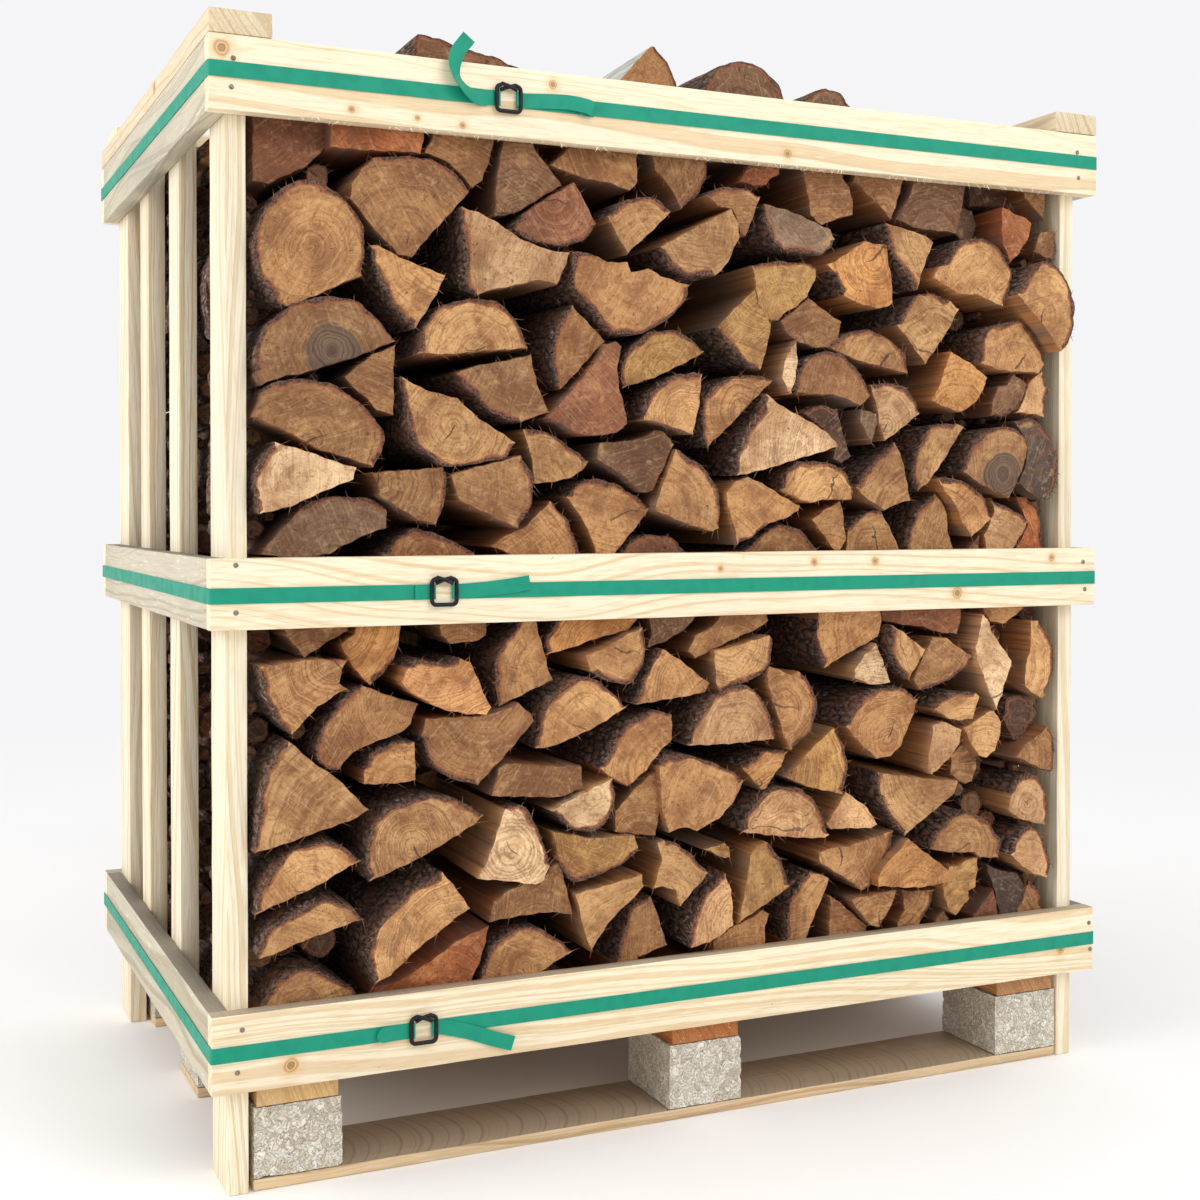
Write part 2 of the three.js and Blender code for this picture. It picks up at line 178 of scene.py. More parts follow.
LOWER_LOGS = """
b 22|70,590 80,570 98,549 125,565 145,575 145,590
O|135,562 150,573 155,590 203,590 200,565 195,545~ 182,528~ 168,517 150,535 142,548
t|50,543 75,545 110,549 144,545 138,535 136,522 145,515 130,508 118,500 112,498 100,485 85,469~ 72,482~
 62,500~ 53,520~ @130,545
b|160,519 185,508 222,497 215,485 213,475 200,465 165,455 148,448 140,438 135,432~ 122,432~ 112,440~
 108,455~ 115,475~ 130,495~ 145,512~ @215,500
q 4|200,520 208,535~ 218,543~ 235,541~ 250,537~ 268,543 280,538 290,520 300,495 305,488 298,480 275,481
 250,487 230,497 210,508
b 22|240,590 245,568 255,558 290,560 298,566 300,590
t|310,487~ 306,515~ 306,540~ 318,560~ 335,577~ 340,590 355,590 360,565 368,540 372,525 377,514 350,504
O 22|368,541~ 368,560~ 380,580~ 385,590 480,590 478,578 465,566 445,561 420,556 400,549
l|413,541 440,550 465,563 485,570~ 491,550~ 489,535~ 480,515~ 468,505~ 450,506~ 435,512~ 420,522
l|353,440~ 357,460~ 362,480~ 378,500~ 398,515~ 412,519~ 430,512~ 448,498~ 466,480 440,466 415,454 390,445
 370,440 @415,458
t|475,482~ 480,500~ 492,522~ 505,545~ 512,545 535,530 555,515 572,503 565,492 530,487 500,484
w 22|489,545 495,560 490,590 562,590 540,565 515,552 500,548
p 5|542,432~ 548,450~ 556,468~ 572,485~ 590,495~ 612,499~ 632,492~ 648,472~ 655,450~ 656,433 620,431
 580,431 @605,438
l|576,540 610,547 650,556~ 654,545~ 650,525~ 640,510~ 618,500~ 600,496~ 582,492 578,505 577,520
t 12|542,540 552,558 575,570 590,590 645,590 648,572 632,562 605,552 575,541 552,530
t|646,508 650,520 665,515 680,508 690,512~ 703,500~ 712,485~ 716,470~ 710,450~ 700,435~ 678,418 668,435
 662,455 655,470 648,495 @668,470
t 22|714,572 716,590 802,590 806,565 800,548 770,535 745,523 725,513~ 716,530~ 713,550~
P|797,541 808,520 820,492 800,490 785,492 765,500 765,510 780,528
l|820,562 835,555 870,531 860,515 845,493~ 832,505~ 820,525~ 818,545~
r 24|806,590 806,568 840,560 865,558 890,550 915,547 920,560 920,590
t|878,546 900,545 915,535 939,520~ 930,505~ 915,497~ 895,487~ 870,480~ 860,480 850,495 865,525
P 5|955,572 963,566 970,550 985,530 1000,512 998,500 990,485 985,470 975,451 965,470 955,495 945,515
 943,530 948,550
t 24|955,575 965,562 985,558 1000,566 1018,577 1018,590 955,590
l 12|1028,562 1040,563~ 1052,552~ 1062,530~ 1066,510~ 1063,490~ 1052,465 1046,462 1030,470 1020,478
 1020,500 1028,530
t|753,443~ 762,460~ 775,475~ 790,483~ 812,486~ 835,487~ 850,478~ 858,470 852,450 843,432 835,415 820,402
 800,400 788,410 770,425 @815,425
l|882,457~ 890,465~ 905,475~ 925,477~ 945,475 950,470 945,455 940,441 918,441 905,443
p|880,437 895,442 910,437 925,430 920,412 905,395 885,380 877,376 870,385 875,410
l 10|925,432 940,440 960,450 972,452 985,435 982,415 975,400 962,392 950,395 935,412
t 30|905,398 920,412 935,408 947,395 947,380 940,365 930,361 915,368 905,375
d 30|985,440~ 990,465~ 1010,470~ 1025,462~ 1038,448~ 1035,435~ 1020,420 1010,412 1000,412
b|1006,390 1020,405 1045,420 1055,428~ 1065,415~ 1068,395~ 1062,368 1045,373 1025,382
l 4|43,352~ 44,375~ 47,400~ 55,430~ 68,455~ 80,465 105,443 130,425 150,405 167,388 155,380 120,370 90,362
 60,355 @172,345
l 5|44,288~ 48,310~ 62,335~ 85,352~ 115,358~ 140,352~ 158,335 130,322 110,312 80,300 @105,308
l 4|166,312~ 161,335~ 163,360~ 180,382~ 205,393~ 235,398~ 262,392~ 285,380~ 296,372 285,362 265,352
 240,340 215,328 190,320 @215,345
t 12|160,414 160,430~ 168,445~ 185,456~ 200,460~ 217,457 218,440 218,415 200,412
b|224,462~ 232,440~ 243,422~ 263,410~ 287,404 305,422 330,446 353,471 348,480 335,492 310,484 290,480
 250,481 230,480 @300,500
b|302,392 310,422 318,428 350,424 390,420 410,418 412,402 413,392 400,388 385,384 360,386 330,388
t|430,414~ 446,438~ 460,456~ 480,469~ 503,476~ 523,470 524,440 508,427 490,408 466,390 448,400 @530,400
P 5|372,371~ 385,357~ 400,347~ 420,343~ 440,352~ 450,367~ 453,385~ 448,402 430,396 400,384 @424,380
b 14|450,341 450,365 470,385 505,412 508,390 507,360 502,332 475,336
t|506,385 503,412~ 515,422~ 540,424~ 565,416~ 600,400~ 618,388 605,365 585,345 555,332 545,338 530,338
 518,333 508,360 @560,368
O|613,402~ 630,415~ 645,421~ 660,420~ 673,418 665,400 652,385 645,375 638,375
p|614,327~ 618,345~ 635,367~ 655,377~ 680,376~ 700,368~ 718,348~ 732,315 725,311 680,315 645,321 @668,325
y|670,388 690,405 705,420 740,443~ 750,425~ 758,405~ 758,385~ 750,361 730,366 705,373 685,380
p|753,366 765,358 785,345 795,330 800,322 790,318 735,320 728,328 740,345
l|800,386 830,380 870,374 916,368 912,352 895,340 870,325 850,312 838,303~ 820,325~ 803,352~ @905,400
p|993,325 1000,345~ 1008,360~ 1020,369~ 1035,368~ 1050,355~ 1057,330~ 1057,315~ 1052,300 1030,306
 1010,313 @1025,330
t|875,285~ 885,305~ 905,320~ 930,328~ 955,320~ 972,302~ 985,286~ 979,266 950,268 943,275 920,277 895,280
 @925,283
p|997,268~ 1003,285~ 1018,298~ 1035,301~ 1048,288~ 1060,265~ 1062,250~ 1057,233 1035,240 1015,252
 @1030,262
l 6|50,243~ 48,255~ 62,275~ 85,290~ 115,298~ 140,292~ 155,280~ 162,272 130,265 100,257 70,247 @105,258
l 4|172,202~ 165,225~ 167,245~ 180,272~ 200,290~ 225,306~ 247,316 260,300 270,287 281,272 262,262 240,247
 215,230 190,210 @262,232
P 8|287,303 298,325 308,350 318,378~ 335,382~ 350,368~ 362,345~ 370,325~ 372,310 365,295 355,290 330,295
 @325,332
y|373,349 390,345 420,338 450,338 475,336 480,322~ 475,312~ 455,302~ 430,292~ 405,287~ 392,295~ 382,315
 @425,335
b 14|300,262 305,278 325,290 345,295 358,292 370,308 382,316 388,300 393,280 400,253 370,258 340,258
 300,254
l|503,325 512,328~ 530,322~ 545,310~ 570,285 565,277 545,262 532,249 527,260 525,268 510,273 497,273
 503,290 508,305
y 26|560,312 590,318 598,312 598,300 590,298 572,308
l|401,277 430,282 455,287 483,292 485,278 475,265 455,250 440,235 422,208 412,235 @480,200
y|622,300 630,312 645,315~ 660,300~ 672,280~ 679,258 665,250 645,240 608,221 615,255 620,285
p|545,200~ 545,225~ 555,250~ 575,270~ 592,283 600,262 602,240 602,220 585,210 570,204
b 22|452,195~ 455,212~ 462,235~ 475,257~ 495,267 502,252 510,225 517,207 500,202 480,197 480,170 452,170
t 22|672,195~ 672,220~ 680,245~ 695,265~ 706,274 720,270 733,264 725,245 712,220 700,196 695,170 672,170
t|715,297 735,301 755,300 790,307 823,314~ 820,295~ 805,270~ 790,247~ 778,243 755,260 735,272 716,283
 @745,300
O 5|845,302 860,290 880,277 900,262 912,252 910,240 870,239 835,241 800,247 798,258 810,275 830,290
b 22|733,243 745,235 770,215 785,202 783,170 732,170 730,205 732,225
b 12|763,235 780,238 806,241 828,241 820,220 803,197 790,200 770,222
b 22|835,240 855,237 884,236~ 880,222~ 872,208~ 862,198 860,170 830,170 828,200 838,215
y|892,240 905,262 920,262 935,270 950,270 950,255 945,232 935,228 935,218 920,205 913,200 905,205 897,222
r 22|940,198 955,212 972,228 978,210 980,198 980,170 940,170
D 26|960,262 985,250 1010,245 1022,225 1018,205 1005,196 1000,170 985,170 980,200 970,235
b 22|1018,210 1025,238~ 1038,225~ 1046,210~ 1048,196 1048,170 1010,170 1008,198
t 22|50,195~ 60,212~ 80,226~ 105,228~ 130,215~ 150,200~ 154,190 150,165 50,165 @98,192
o 22|172,198 200,205 230,220 262,240 300,252 297,235 290,215 280,195 275,165 175,165
t 22|290,195~ 298,222~ 315,240~ 340,248~ 362,243~ 385,225~ 402,212 380,203 358,192 350,165 290,165
 @340,200
b 24|885,198 898,210 905,198 905,170 885,170
b 22|575,205 605,222 625,228 640,235 650,230 645,215 645,198 640,170 575,170
"""


# ---- colours and node helpers

def linear(hex_code: str) -> tuple[float, float, float, float]:
    """Turn an sRGB hex colour into linear RGBA.

    Args:
        hex_code: the colour, as # and six digits.

    Returns:
        Red, green, blue and alpha.
    """
    parts = [int(hex_code[start:start + 2], 16) / 255 for start in (1, 3, 5)]
    curve = [v / 12.92 if v <= 0.04045 else ((v + 0.055) / 1.055) ** 2.4 for v in parts]
    return (curve[0], curve[1], curve[2], 1.0)


# For each kind of node: the property that a choice sets, the inputs in the order in which
# terms are given, and other settings
KINDS: dict[str, tuple[str, tuple[int | str, ...], dict[str, str]]] = {
    "Attribute": ("attribute_name", (), {}),
    "CombineXYZ": ("", ("X", "Y", "Z"), {}),
    "Mapping": ("", ("Vector", "Scale"), {}),
    "MapRange": ("", (0, 1, 2, 3, 4), {"interpolation_type": "SMOOTHSTEP"}),
    "Math": ("operation", (0, 1, 2), {}),
    "Mix": ("blend_type", (0, 6, 7), {"data_type": "RGBA"}),
    "MixShader": ("", (0, 1, 2), {}),
    "TexNoise": ("noise_dimensions", ("Vector", "Scale", "Detail", "Distortion"), {}),
    "TexVoronoi": ("feature", ("Vector", "Scale"), {}),
    "TexWhiteNoise": ("noise_dimensions", ("W",), {}),
    "VectorMath": ("operation", (0, 1), {}),
    "VectorRotate": ("rotation_type", ("Vector", "Angle"), {}),
}
USUAL_OUTPUT = {"Attribute": "Fac", "Mix": 2, "TexCoord": "Object"}
WORDS = {"minus": "Math:SUBTRACT", "noise": "TexNoise", "plus": "Math:ADD", "ramp": "MapRange",
         "scaled": "Mapping", "times": "Math:MULTIPLY"}


class Paint:
    """A material under work: one Principled shader, and the nodes that feed it."""

    def __init__(self, name: str, roughness: float, **sockets: float) -> None:
        """Start the material.

        Args:
            name: its name.
            roughness: the shader's roughness, which a pattern may replace.
            **sockets: other values for the shader's own sockets.
        """
        self.made = bpy.data.materials.new(name)
        self.made.use_nodes = True
        self.links = self.made.node_tree.links
        self.shader = self.made.node_tree.nodes["Principled BSDF"]
        self.shader.inputs["Roughness"].default_value = roughness
        for key, value in sockets.items():
            self.shader.inputs[key.replace("_", " ")].default_value = value

    def node(self, name: str, *terms: object, out: int | str | None = None,
             **inputs: object) -> Socket:
        """Add one shader node with its settings and links.

        Args:
            name: one of WORDS, or a kind, and after a colon the choice that it is set to.
            *terms: numbers, hex colours or sockets for its inputs, in the order of KINDS.
            out: the output to return, where it isn't the usual one.
            **inputs: numbers, hex colours or sockets for inputs by name.

        Returns:
            One output socket of the new node.
        """
        kind, _, choice = WORDS.get(name, name).partition(":")
        chosen, order, settings = KINDS.get(kind, ("", (0,), {}))
        made = self.made.node_tree.nodes.new("ShaderNode" + kind)
        for key, value in (settings | ({chosen: choice} if choice else {})).items():
            setattr(made, key, value)
        for key, value in (*zip(order, terms), *inputs.items()):
            if isinstance(value, Socket):
                self.links.new(value, made.inputs[key])
            else:
                made.inputs[key].default_value = linear(value) if isinstance(value, str) else value
        return made.outputs[USUAL_OUTPUT.get(kind, 0) if out is None else out]

    def washed(self, colour: Socket | str, value: Socket, low: float, high: float,
               over: Socket | str, most: float = 1.0) -> Socket:
        """Return a colour with another laid over it, as far as a value has risen.

        Args:
            colour: the colour underneath.
            value: what decides how much of the other colour lies over it.
            low: the value at which there is none of it.
            high: the value at which there is most of it.
            over: the other colour.
            most: its greatest share.

        Returns:
            The mixed colour's socket.
        """
        return self.node("Mix", self.node("ramp", value, low, high, 0.0, most), colour, over)

    def dress(self, colour: Socket, height: Socket | None = None, depth: float = 0.001,
              strength: float = 0.6, roughness: Socket | None = None) -> Material:
        """Link a colour, a bump height and a roughness to the shader.

        Args:
            colour: base colour socket.
            height: bump height socket, from 0 to 1.
            depth: how deep the height's full range is, in metres.
            strength: how strongly the bump shows.
            roughness: roughness socket, if it varies.

        Returns:
            The finished material.
        """
        self.links.new(colour, self.shader.inputs["Base Color"])
        if height is not None:
            bump = self.node("Bump", Height=height, Distance=depth, Strength=strength)
            self.links.new(bump, self.shader.inputs["Normal"])
        if roughness is not None:
            self.links.new(roughness, self.shader.inputs["Roughness"])
        return self.made


# ---- finishes

@dataclass(frozen=True)
class PineFinish:
    """Sawn pine: pale earlywood, uneven darker latewood lines along the board, a few knots."""

    name: str = "sawn_pine"
    early: str = "#f5e7c8"
    late: str = "#d6b27a"
    knot: str = "#6f4526"
    halo: str = "#d9ad6c"
    soil: str = "#a3978a"
    soiling: float = 0.12
    ring_gap: float = 7.0 * MM
    dust: str = "#8d7c69"
    groove: str = "#6e5c4b"
    dusting: float = 0.75

    def build(self) -> Material:
        """Make the material, which follows each board's own grain attribute.

        Returns:
            The material.
        """
        m = Paint(self.name, 0.62)
        node = m.node
        grain = node("Attribute:grain", out="Vector")
        bend = node("noise", node("scaled", grain, (1.5, 6.0, 6.0)), 1.0, 2.0)
        axes = node("SeparateXYZ", grain).node.outputs
        slant = node("times", axes[0], 0.02)
        drift = node("times", bend, 0.075)
        place = node("plus", node("plus", axes[1], axes[2]), node("plus", slant, drift))
        line_at = node("CombineXYZ", Y=axes[2], X=node("times", place, 1 / self.ring_gap))
        lines = node("ramp", node("noise", line_at, 1.0, 1.0), 0.54, 0.62)
        thin = node("ramp", node("noise", line_at, 2.6, 1.0), 0.53, 0.66)
        fibre = node("noise", node("scaled", grain, (16.0, 700.0, 700.0)), 1.0, 2.0)
        patch = node("noise", node("scaled", grain, (2.2, 9.0, 9.0)), 1.0, 4.0)
        colour = node("Mix", node("times", lines, 0.52), self.early, self.late)
        colour = node("Mix", node("times", thin, 0.52), colour, self.late)
        colour = m.washed(colour, fibre, 0.45, 0.8, self.late, 0.4)
        fuzz = node("noise", node("scaled", grain, (34.0, 520.0, 520.0)), 1.0, 3.0)
        colour = m.washed(colour, fuzz, 0.5, 0.75, "#c9a473", 0.32)
        colour = m.washed(colour, fuzz, 0.42, 0.28, "#fff3d6", 0.35)
        speck = node("ramp", node("noise", node("scaled", grain, (120.0, 240.0, 240.0)), 1.0, 3.0), 0.76,
                     0.8)
        colour = node("Mix", node("times", speck, 0.7), colour, "#7c5a3c")
        soil = node("ramp", patch, 0.42, 0.75, 0.0, self.soiling)
        colour = node("Mix", soil, colour, self.soil)
        top = node("Attribute:dusty")
        side = node("Attribute:side")
        bow = node("times", node("times", side, side), 6.5)
        saw_at = node("CombineXYZ", node("times", node("plus", axes[0], bow), 170.0))
        saw = node("ramp", node("noise", saw_at, 1.0, 2.0), 0.5, 0.62)
        worn = node("ramp", patch, 0.3, 0.6, 0.8, 1.0)
        grime = node("times", node("times", top, worn), self.dusting)
        dust = node("Mix", node("times", saw, 0.42), self.dust, self.groove)
        colour = node("Mix", grime, colour, dust)
        near = node("Attribute:knot", out="Vector")
        wobble = node("times", node("noise", grain, 110.0, 3.0), 0.004)
        ring = node("plus", node("VectorMath:LENGTH", near, out="Value"), wobble)
        colour = m.washed(colour, ring, 0.02, 0.008, self.halo, 0.35)
        turns = node("Math:SINE", node("times", ring, 2 * math.pi / 0.0026))
        core = node("ramp", ring, 0.0098, 0.0078, 0.0, 0.7)
        tint = m.washed("#a87847", turns, -1.0, 1.0, self.halo)
        colour = node("Mix", core, colour, tint)
        colour = m.washed(colour, ring, 0.006, 0.0042, self.knot, 0.5)
        height = node("plus", node("times", fibre, 0.7),
                      node("plus", node("times", lines, 0.4), node("times", fuzz, 0.8)))
        return m.dress(colour, height, 0.7 * MM, 0.7)


@dataclass(frozen=True)
class ChipFinish:
    """Pressed wood chips: thin curled flakes about 10 mm long, their pale edges showing."""

    flake: float = 9.0 * MM
    streaks: float = 1800.0

    def build(self) -> Material:
        """Make the material.

        Returns:
            The material.
        """
        m = Paint("pressed_wood_chips", 0.8)
        node = m.node
        spot = node("TexCoord")
        warp = node("noise", spot, 75.0, 1.5, out="Color")
        shift = node("VectorMath:SCALE", warp, Scale=0.045)
        moved = node("VectorMath:ADD", spot, shift)
        cells = node("TexVoronoi", moved, 1 / self.flake, out="Color")
        edges = node("TexVoronoi:DISTANCE_TO_EDGE", moved, 1 / self.flake)
        tone = node("SeparateColor", cells).node.outputs
        colour = m.washed("#e9e2d2", tone[0], 0.2, 0.9, "#c8bda9")
        colour = m.washed(colour, tone[1], 0.7, 0.9, "#f3eee2")
        fleck = node("noise", spot, 380.0, 3.0)
        colour = m.washed(colour, fleck, 0.52, 0.7, "#94836b", 0.5)
        colour = m.washed(colour, fleck, 0.42, 0.3, "#eee7d8", 0.5)
        colour = m.washed(colour, edges, 0.07, 0.0, "#85745a", 0.6)
        way = node("VectorMath:SUBTRACT", cells, (0.5, 0.5, 0.5))
        run = node("VectorMath:DOT_PRODUCT", moved, way, out="Value")
        streak = node("TexNoise:1D", Scale=1.0, Detail=2.0, W=node("times", run, self.streaks))
        colour = m.washed(colour, streak, 0.52, 0.7, "#8a7a63", 0.75)
        colour = m.washed(colour, streak, 0.46, 0.3, "#f4efe4", 0.6)
        height = node("plus", node("ramp", edges, 0.0, 0.25),
                      node("plus", node("times", tone[1], 0.8), node("times", streak, -0.8)))
        return m.dress(colour, height, 1.2 * MM, 0.8)


@dataclass(frozen=True)
class EndGrainFinish:
    """The sawn end of a split log: growth rings, rays, saw scratches, and drying cracks painted near
    black as the shade inside them.
    """

    wide_ring: float = 4.6 * MM
    fine_ring: float = 2.0 * MM

    def build(self) -> Material:
        """Make the material, which reads each log's pith, tone and bark rim from its mesh.

        Returns:
            The material.
        """
        m = Paint("sawn_end_grain", 0.78)
        node = m.node
        spot = node("Attribute:section", out="Vector")
        tone = node("Attribute:tone", out="Color")
        rim = node("Attribute:rim")
        axes = node("SeparateXYZ", spot).node.outputs
        flat = node("CombineXYZ", axes[0], axes[1])
        away = node("VectorMath:LENGTH", flat, out="Value")
        angle = node("Math:ARCTAN2", axes[1], axes[0])
        luck = node("TexWhiteNoise:1D", axes[2], out="Color")
        chance = node("SeparateColor", luck).node.outputs
        broad = node("noise", spot, 30.0, 3.0)
        radius = node("plus", away, node("times", broad, 0.02))
        far = node("CombineXYZ", radius, axes[2])
        bands = node("noise", node("scaled", far, (1 / self.wide_ring, 1.0, 1.0)), 1.0, 2.0)
        fine = node("noise", node("scaled", far, (1 / self.fine_ring, 3.0, 1.0)), 1.0, 1.0)
        rays_at = node("CombineXYZ", node("times", angle, 30.0), node("times", away, 40.0), axes[2])
        rays = node("noise", rays_at, 1.0, 2.0)
        patch = node("noise", spot, 40.0, 5.0, 0.8)
        slow = node("noise", spot, 17.0, 2.0, 0.4)
        pores = node("noise", spot, 420.0, 4.0)
        dark = node("Mix:MULTIPLY", 1.0, tone, "#9c7a56")
        pale = node("Mix", 0.55, tone, "#e6c79c")
        faint = node("times", node("ramp", patch, 0.35, 0.6, 0.5, 1.0),
                     node("ramp", chance[1], 0.0, 0.7, 0.45, 1.0))
        colour = m.washed(tone, slow, 0.35, 0.7, dark, 0.65)
        colour = node("Mix", node("times", faint, node("ramp", bands, 0.48, 0.62, 0.0, 0.36)), colour,
                      dark)
        colour = node("Mix", node("times", faint, node("ramp", fine, 0.5, 0.62, 0.0, 0.68)), colour, dark)
        colour = m.washed(colour, bands, 0.4, 0.25, pale, 0.25)
        mottle = node("noise", spot, 130.0, 4.0, 1.2)
        colour = m.washed(colour, mottle, 0.5, 0.7, dark, 0.5)
        colour = m.washed(colour, mottle, 0.46, 0.3, pale, 0.3)
        colour = m.washed(colour, rays, 0.55, 0.8, dark, 0.4)
        colour = m.washed(colour, patch, 0.5, 0.72, "#7b5030", 0.55)
        colour = m.washed(colour, patch, 0.42, 0.22, "#d2a468", 0.5)
        colour = m.washed(colour, pores, 0.56, 0.72, "#54341f", 0.5)
        # Saw scratches run one way across each end and turn from log to log
        lean = node("VectorRotate:Z_AXIS", spot, node("times", axes[2], 5.3))
        scratch = node("noise", node("scaled", lean, (26.0, 480.0, 3.0)), 1.0, 3.0)
        colour = m.washed(colour, scratch, 0.56, 0.74, pale, 0.3)
        colour = m.washed(colour, scratch, 0.44, 0.28, dark, 0.42)
        # Drying cracks and small nicks are painted near black. This is painted shade for openings that
        # the mesh does not have, and the bump only dips there.
        nick_at = node("CombineXYZ", Y=axes[2], X=node("times", angle, 16.0),
                       Z=node("times", away, 110.0))
        nicks = node("ramp", node("noise", nick_at, 1.0, 2.0), 0.7, 0.76)
        cracks = []
        for step, share, width in ((0.0, chance[0], 1.2), (2.9, chance[1], 0.9)):
            start = node("plus", node("times", chance[2], 6.28), step)
            bent = node("plus", angle, node("times", broad, 1.6))
            turned = node("Math:WRAP", node("minus", bent, start), math.pi, -math.pi)
            gap = node("times", node("Math:ABSOLUTE", turned), away)
            long = node("plus", node("times", share, 0.09), -0.035)
            opened = node("times", width * MM, node("ramp", node("minus", long, away), 0.0, 0.02))
            cracks.append(node("Math:LESS_THAN", gap, opened))
        crack = node("Math:MAXIMUM", node("Math:MAXIMUM", cracks[0], cracks[1]),
                     node("times", nicks, 0.7))
        colour = node("Mix", node("times", crack, 0.85), colour, "#2c1a10")
        stain = node("Attribute:stain")
        core = node("ramp", radius, 0.042, 0.036)
        ink = node("times", node("times", stain, core), 0.8)
        grey = m.washed("#665245", fine, 0.4, 0.6, "#43352b")
        colour = node("Mix", ink, colour, grey)
        uneven = node("plus", node("times", node("noise", spot, 230.0, 3.0), 0.9),
                      node("times", node("noise", spot, 55.0, 2.0), 1.5))
        uneven = node("times", node("minus", uneven, 1.1), node("ramp", rim, 0.0, 0.3))
        edge = node("plus", rim, uneven)
        colour = m.washed(colour, edge, 0.04, 0.3, "#8c4d2b", 0.9)
        crust = m.washed("#3a2318", pores, 0.4, 0.62, "#744d36")
        colour = m.washed(colour, edge, 0.45, 0.68, crust)
        height = node("plus", node("times", scratch, 0.7),
                      node("plus", node("times", pores, 0.6), node("times", mottle, 1.1)))
        height = node("minus", height, node("times", crack, 1.2))
        height = node("minus", height, node("times", bands, 0.6))
        return m.dress(colour, height, 1.1 * MM, 0.85)


@dataclass(frozen=True)
class SplitFaceFinish:
    """The riven side of a log: long fibres that weather from tan to grey brown."""

    fibre: float = 1.6 * MM

    def build(self) -> Material:
        """Make the material.

        Returns:
            The material.
        """
        m = Paint("riven_wood", 0.85)
        node = m.node
        spot = node("TexCoord")
        tone = node("Attribute:tone", out="Color")
        long = node("scaled", spot, (1 / self.fibre, 9.0, 1 / self.fibre))
        threads = node("noise", long, 0.5, 4.0, 0.3)
        patch = node("noise", node("scaled", spot, (22.0, 6.0, 22.0)), 1.0, 3.0)
        colour = node("Mix:MULTIPLY", 1.0, tone, "#cdb298")
        colour = m.washed(colour, threads, 0.42, 0.75, "#5c3d27", 0.7)
        colour = m.washed(colour, threads, 0.42, 0.2, "#d9b98e", 0.5)
        colour = m.washed(colour, patch, 0.4, 0.7, "#6f6157", 0.65)
        aged = node("Attribute:aged")
        silver = m.washed("#d3d6cf", threads, 0.35, 0.7, "#8f8f88")
        colour = node("Mix", node("times", aged, 0.85), colour, silver)
        return m.dress(colour, threads, 1.6 * MM, 0.8)


@dataclass(frozen=True)
class BarkFinish:
    """Weathered bark: long dark plates, deep furrows and a little grey lichen."""

    plate: float = 9 * MM

    def build(self) -> Material:
        """Make the material.

        Returns:
            The material.
        """
        m = Paint("furrowed_bark", 0.93)
        node = m.node
        spot = node("TexCoord")
        warp = node("noise", spot, 45.0, 3.0, out="Color")
        shift = node("VectorMath:SCALE", warp, Scale=0.016)
        moved = node("VectorMath:ADD", spot, shift)
        long = node("scaled", moved, (1 / self.plate, 0.38 / self.plate, 1 / self.plate))
        furrow = node("TexVoronoi:DISTANCE_TO_EDGE", long, 1.0)
        rough = node("noise", node("scaled", spot, (260.0, 90.0, 260.0)), 1.0, 4.0)
        patch = node("noise", spot, 30.0, 3.0)
        colour = m.washed("#301f17", furrow, 0.02, 0.22, "#66493a")
        colour = m.washed(colour, rough, 0.4, 0.72, "#8c7260", 0.7)
        colour = m.washed(colour, patch, 0.5, 0.7, "#7c4c34", 0.6)
        lichen = node("times", node("ramp", patch, 0.42, 0.3), node("ramp", rough, 0.5, 0.68, 0.0, 0.6))
        colour = node("Mix", lichen, colour, "#c4b7a6")
        height = node("plus", node("ramp", furrow, 0.0, 0.25), node("times", rough, 0.6))
        return m.dress(colour, height, 3.0 * MM, 0.9)


@dataclass(frozen=True)
class StrapFinish:
    """Woven polyester strapping: even green with a fine diagonal weave, a painted highlight on its raised
    diamonds, and a soft sheen.
    """

    green: str = "#009073"
    deep: str = "#007e64"
    diamond: float = 2.0 * MM

    def build(self) -> Material:
        """Make the material.

        Returns:
            The material.
        """
        m = Paint("polyester_strapping", 0.44, IOR=1.57, Specular_IOR_Level=0.28)
        node = m.node
        spot = node("TexCoord")
        axes = node("SeparateXYZ", spot).node.outputs
        run = node("plus", axes[0], axes[1])
        turn = 2 * math.pi / self.diamond
        rise = node("Math:SINE", node("times", node("plus", run, axes[2]), turn))
        fall = node("Math:SINE", node("times", node("minus", run, axes[2]), turn))
        press = node("times", rise, fall)
        scuff = node("noise", spot, 70.0, 5.0)
        colour = m.washed(self.green, scuff, 0.4, 0.75, self.deep, 0.4)
        # The weave's raised diamonds are washed paler green: a painted highlight.
        colour = m.washed(colour, press, 0.3, 1.0, "#2fb08c", 0.1)
        return m.dress(colour, press, 0.12 * MM, 0.5, node("ramp", scuff, 0.3, 0.7, 0.44, 0.6))


@dataclass(frozen=True)
class BuckleFinish:
    """Phosphated steel wire: nearly black, softly shiny, with a little wear."""

    def build(self) -> Material:
        """Make the material.

        Returns:
            The material.
        """
        m = Paint("phosphated_wire", 0.4, Metallic=0.55)
        node = m.node
        spot = node("TexCoord")
        speck = node("noise", spot, 300.0, 4.0)
        colour = m.washed("#17181c", speck, 0.5, 0.8, "#3d3e44")
        return m.dress(colour, speck, 0.1 * MM, 0.4, node("ramp", speck, 0.3, 0.7, 0.32, 0.55))


@dataclass(frozen=True)
class NailFinish:
    """Bare steel nail heads, dulled and lightly rusted."""

    def build(self) -> Material:
        """Make the material.

        Returns:
            The material.
        """
        m = Paint("dull_nail_steel", 0.5, Metallic=0.7)
        node = m.node
        spot = node("TexCoord")
        rust = node("noise", spot, 500.0, 3.0)
        colour = m.washed("#8f8981", rust, 0.45, 0.65, "#75604e")
        return m.dress(colour, rust, 0.1 * MM, 0.5)


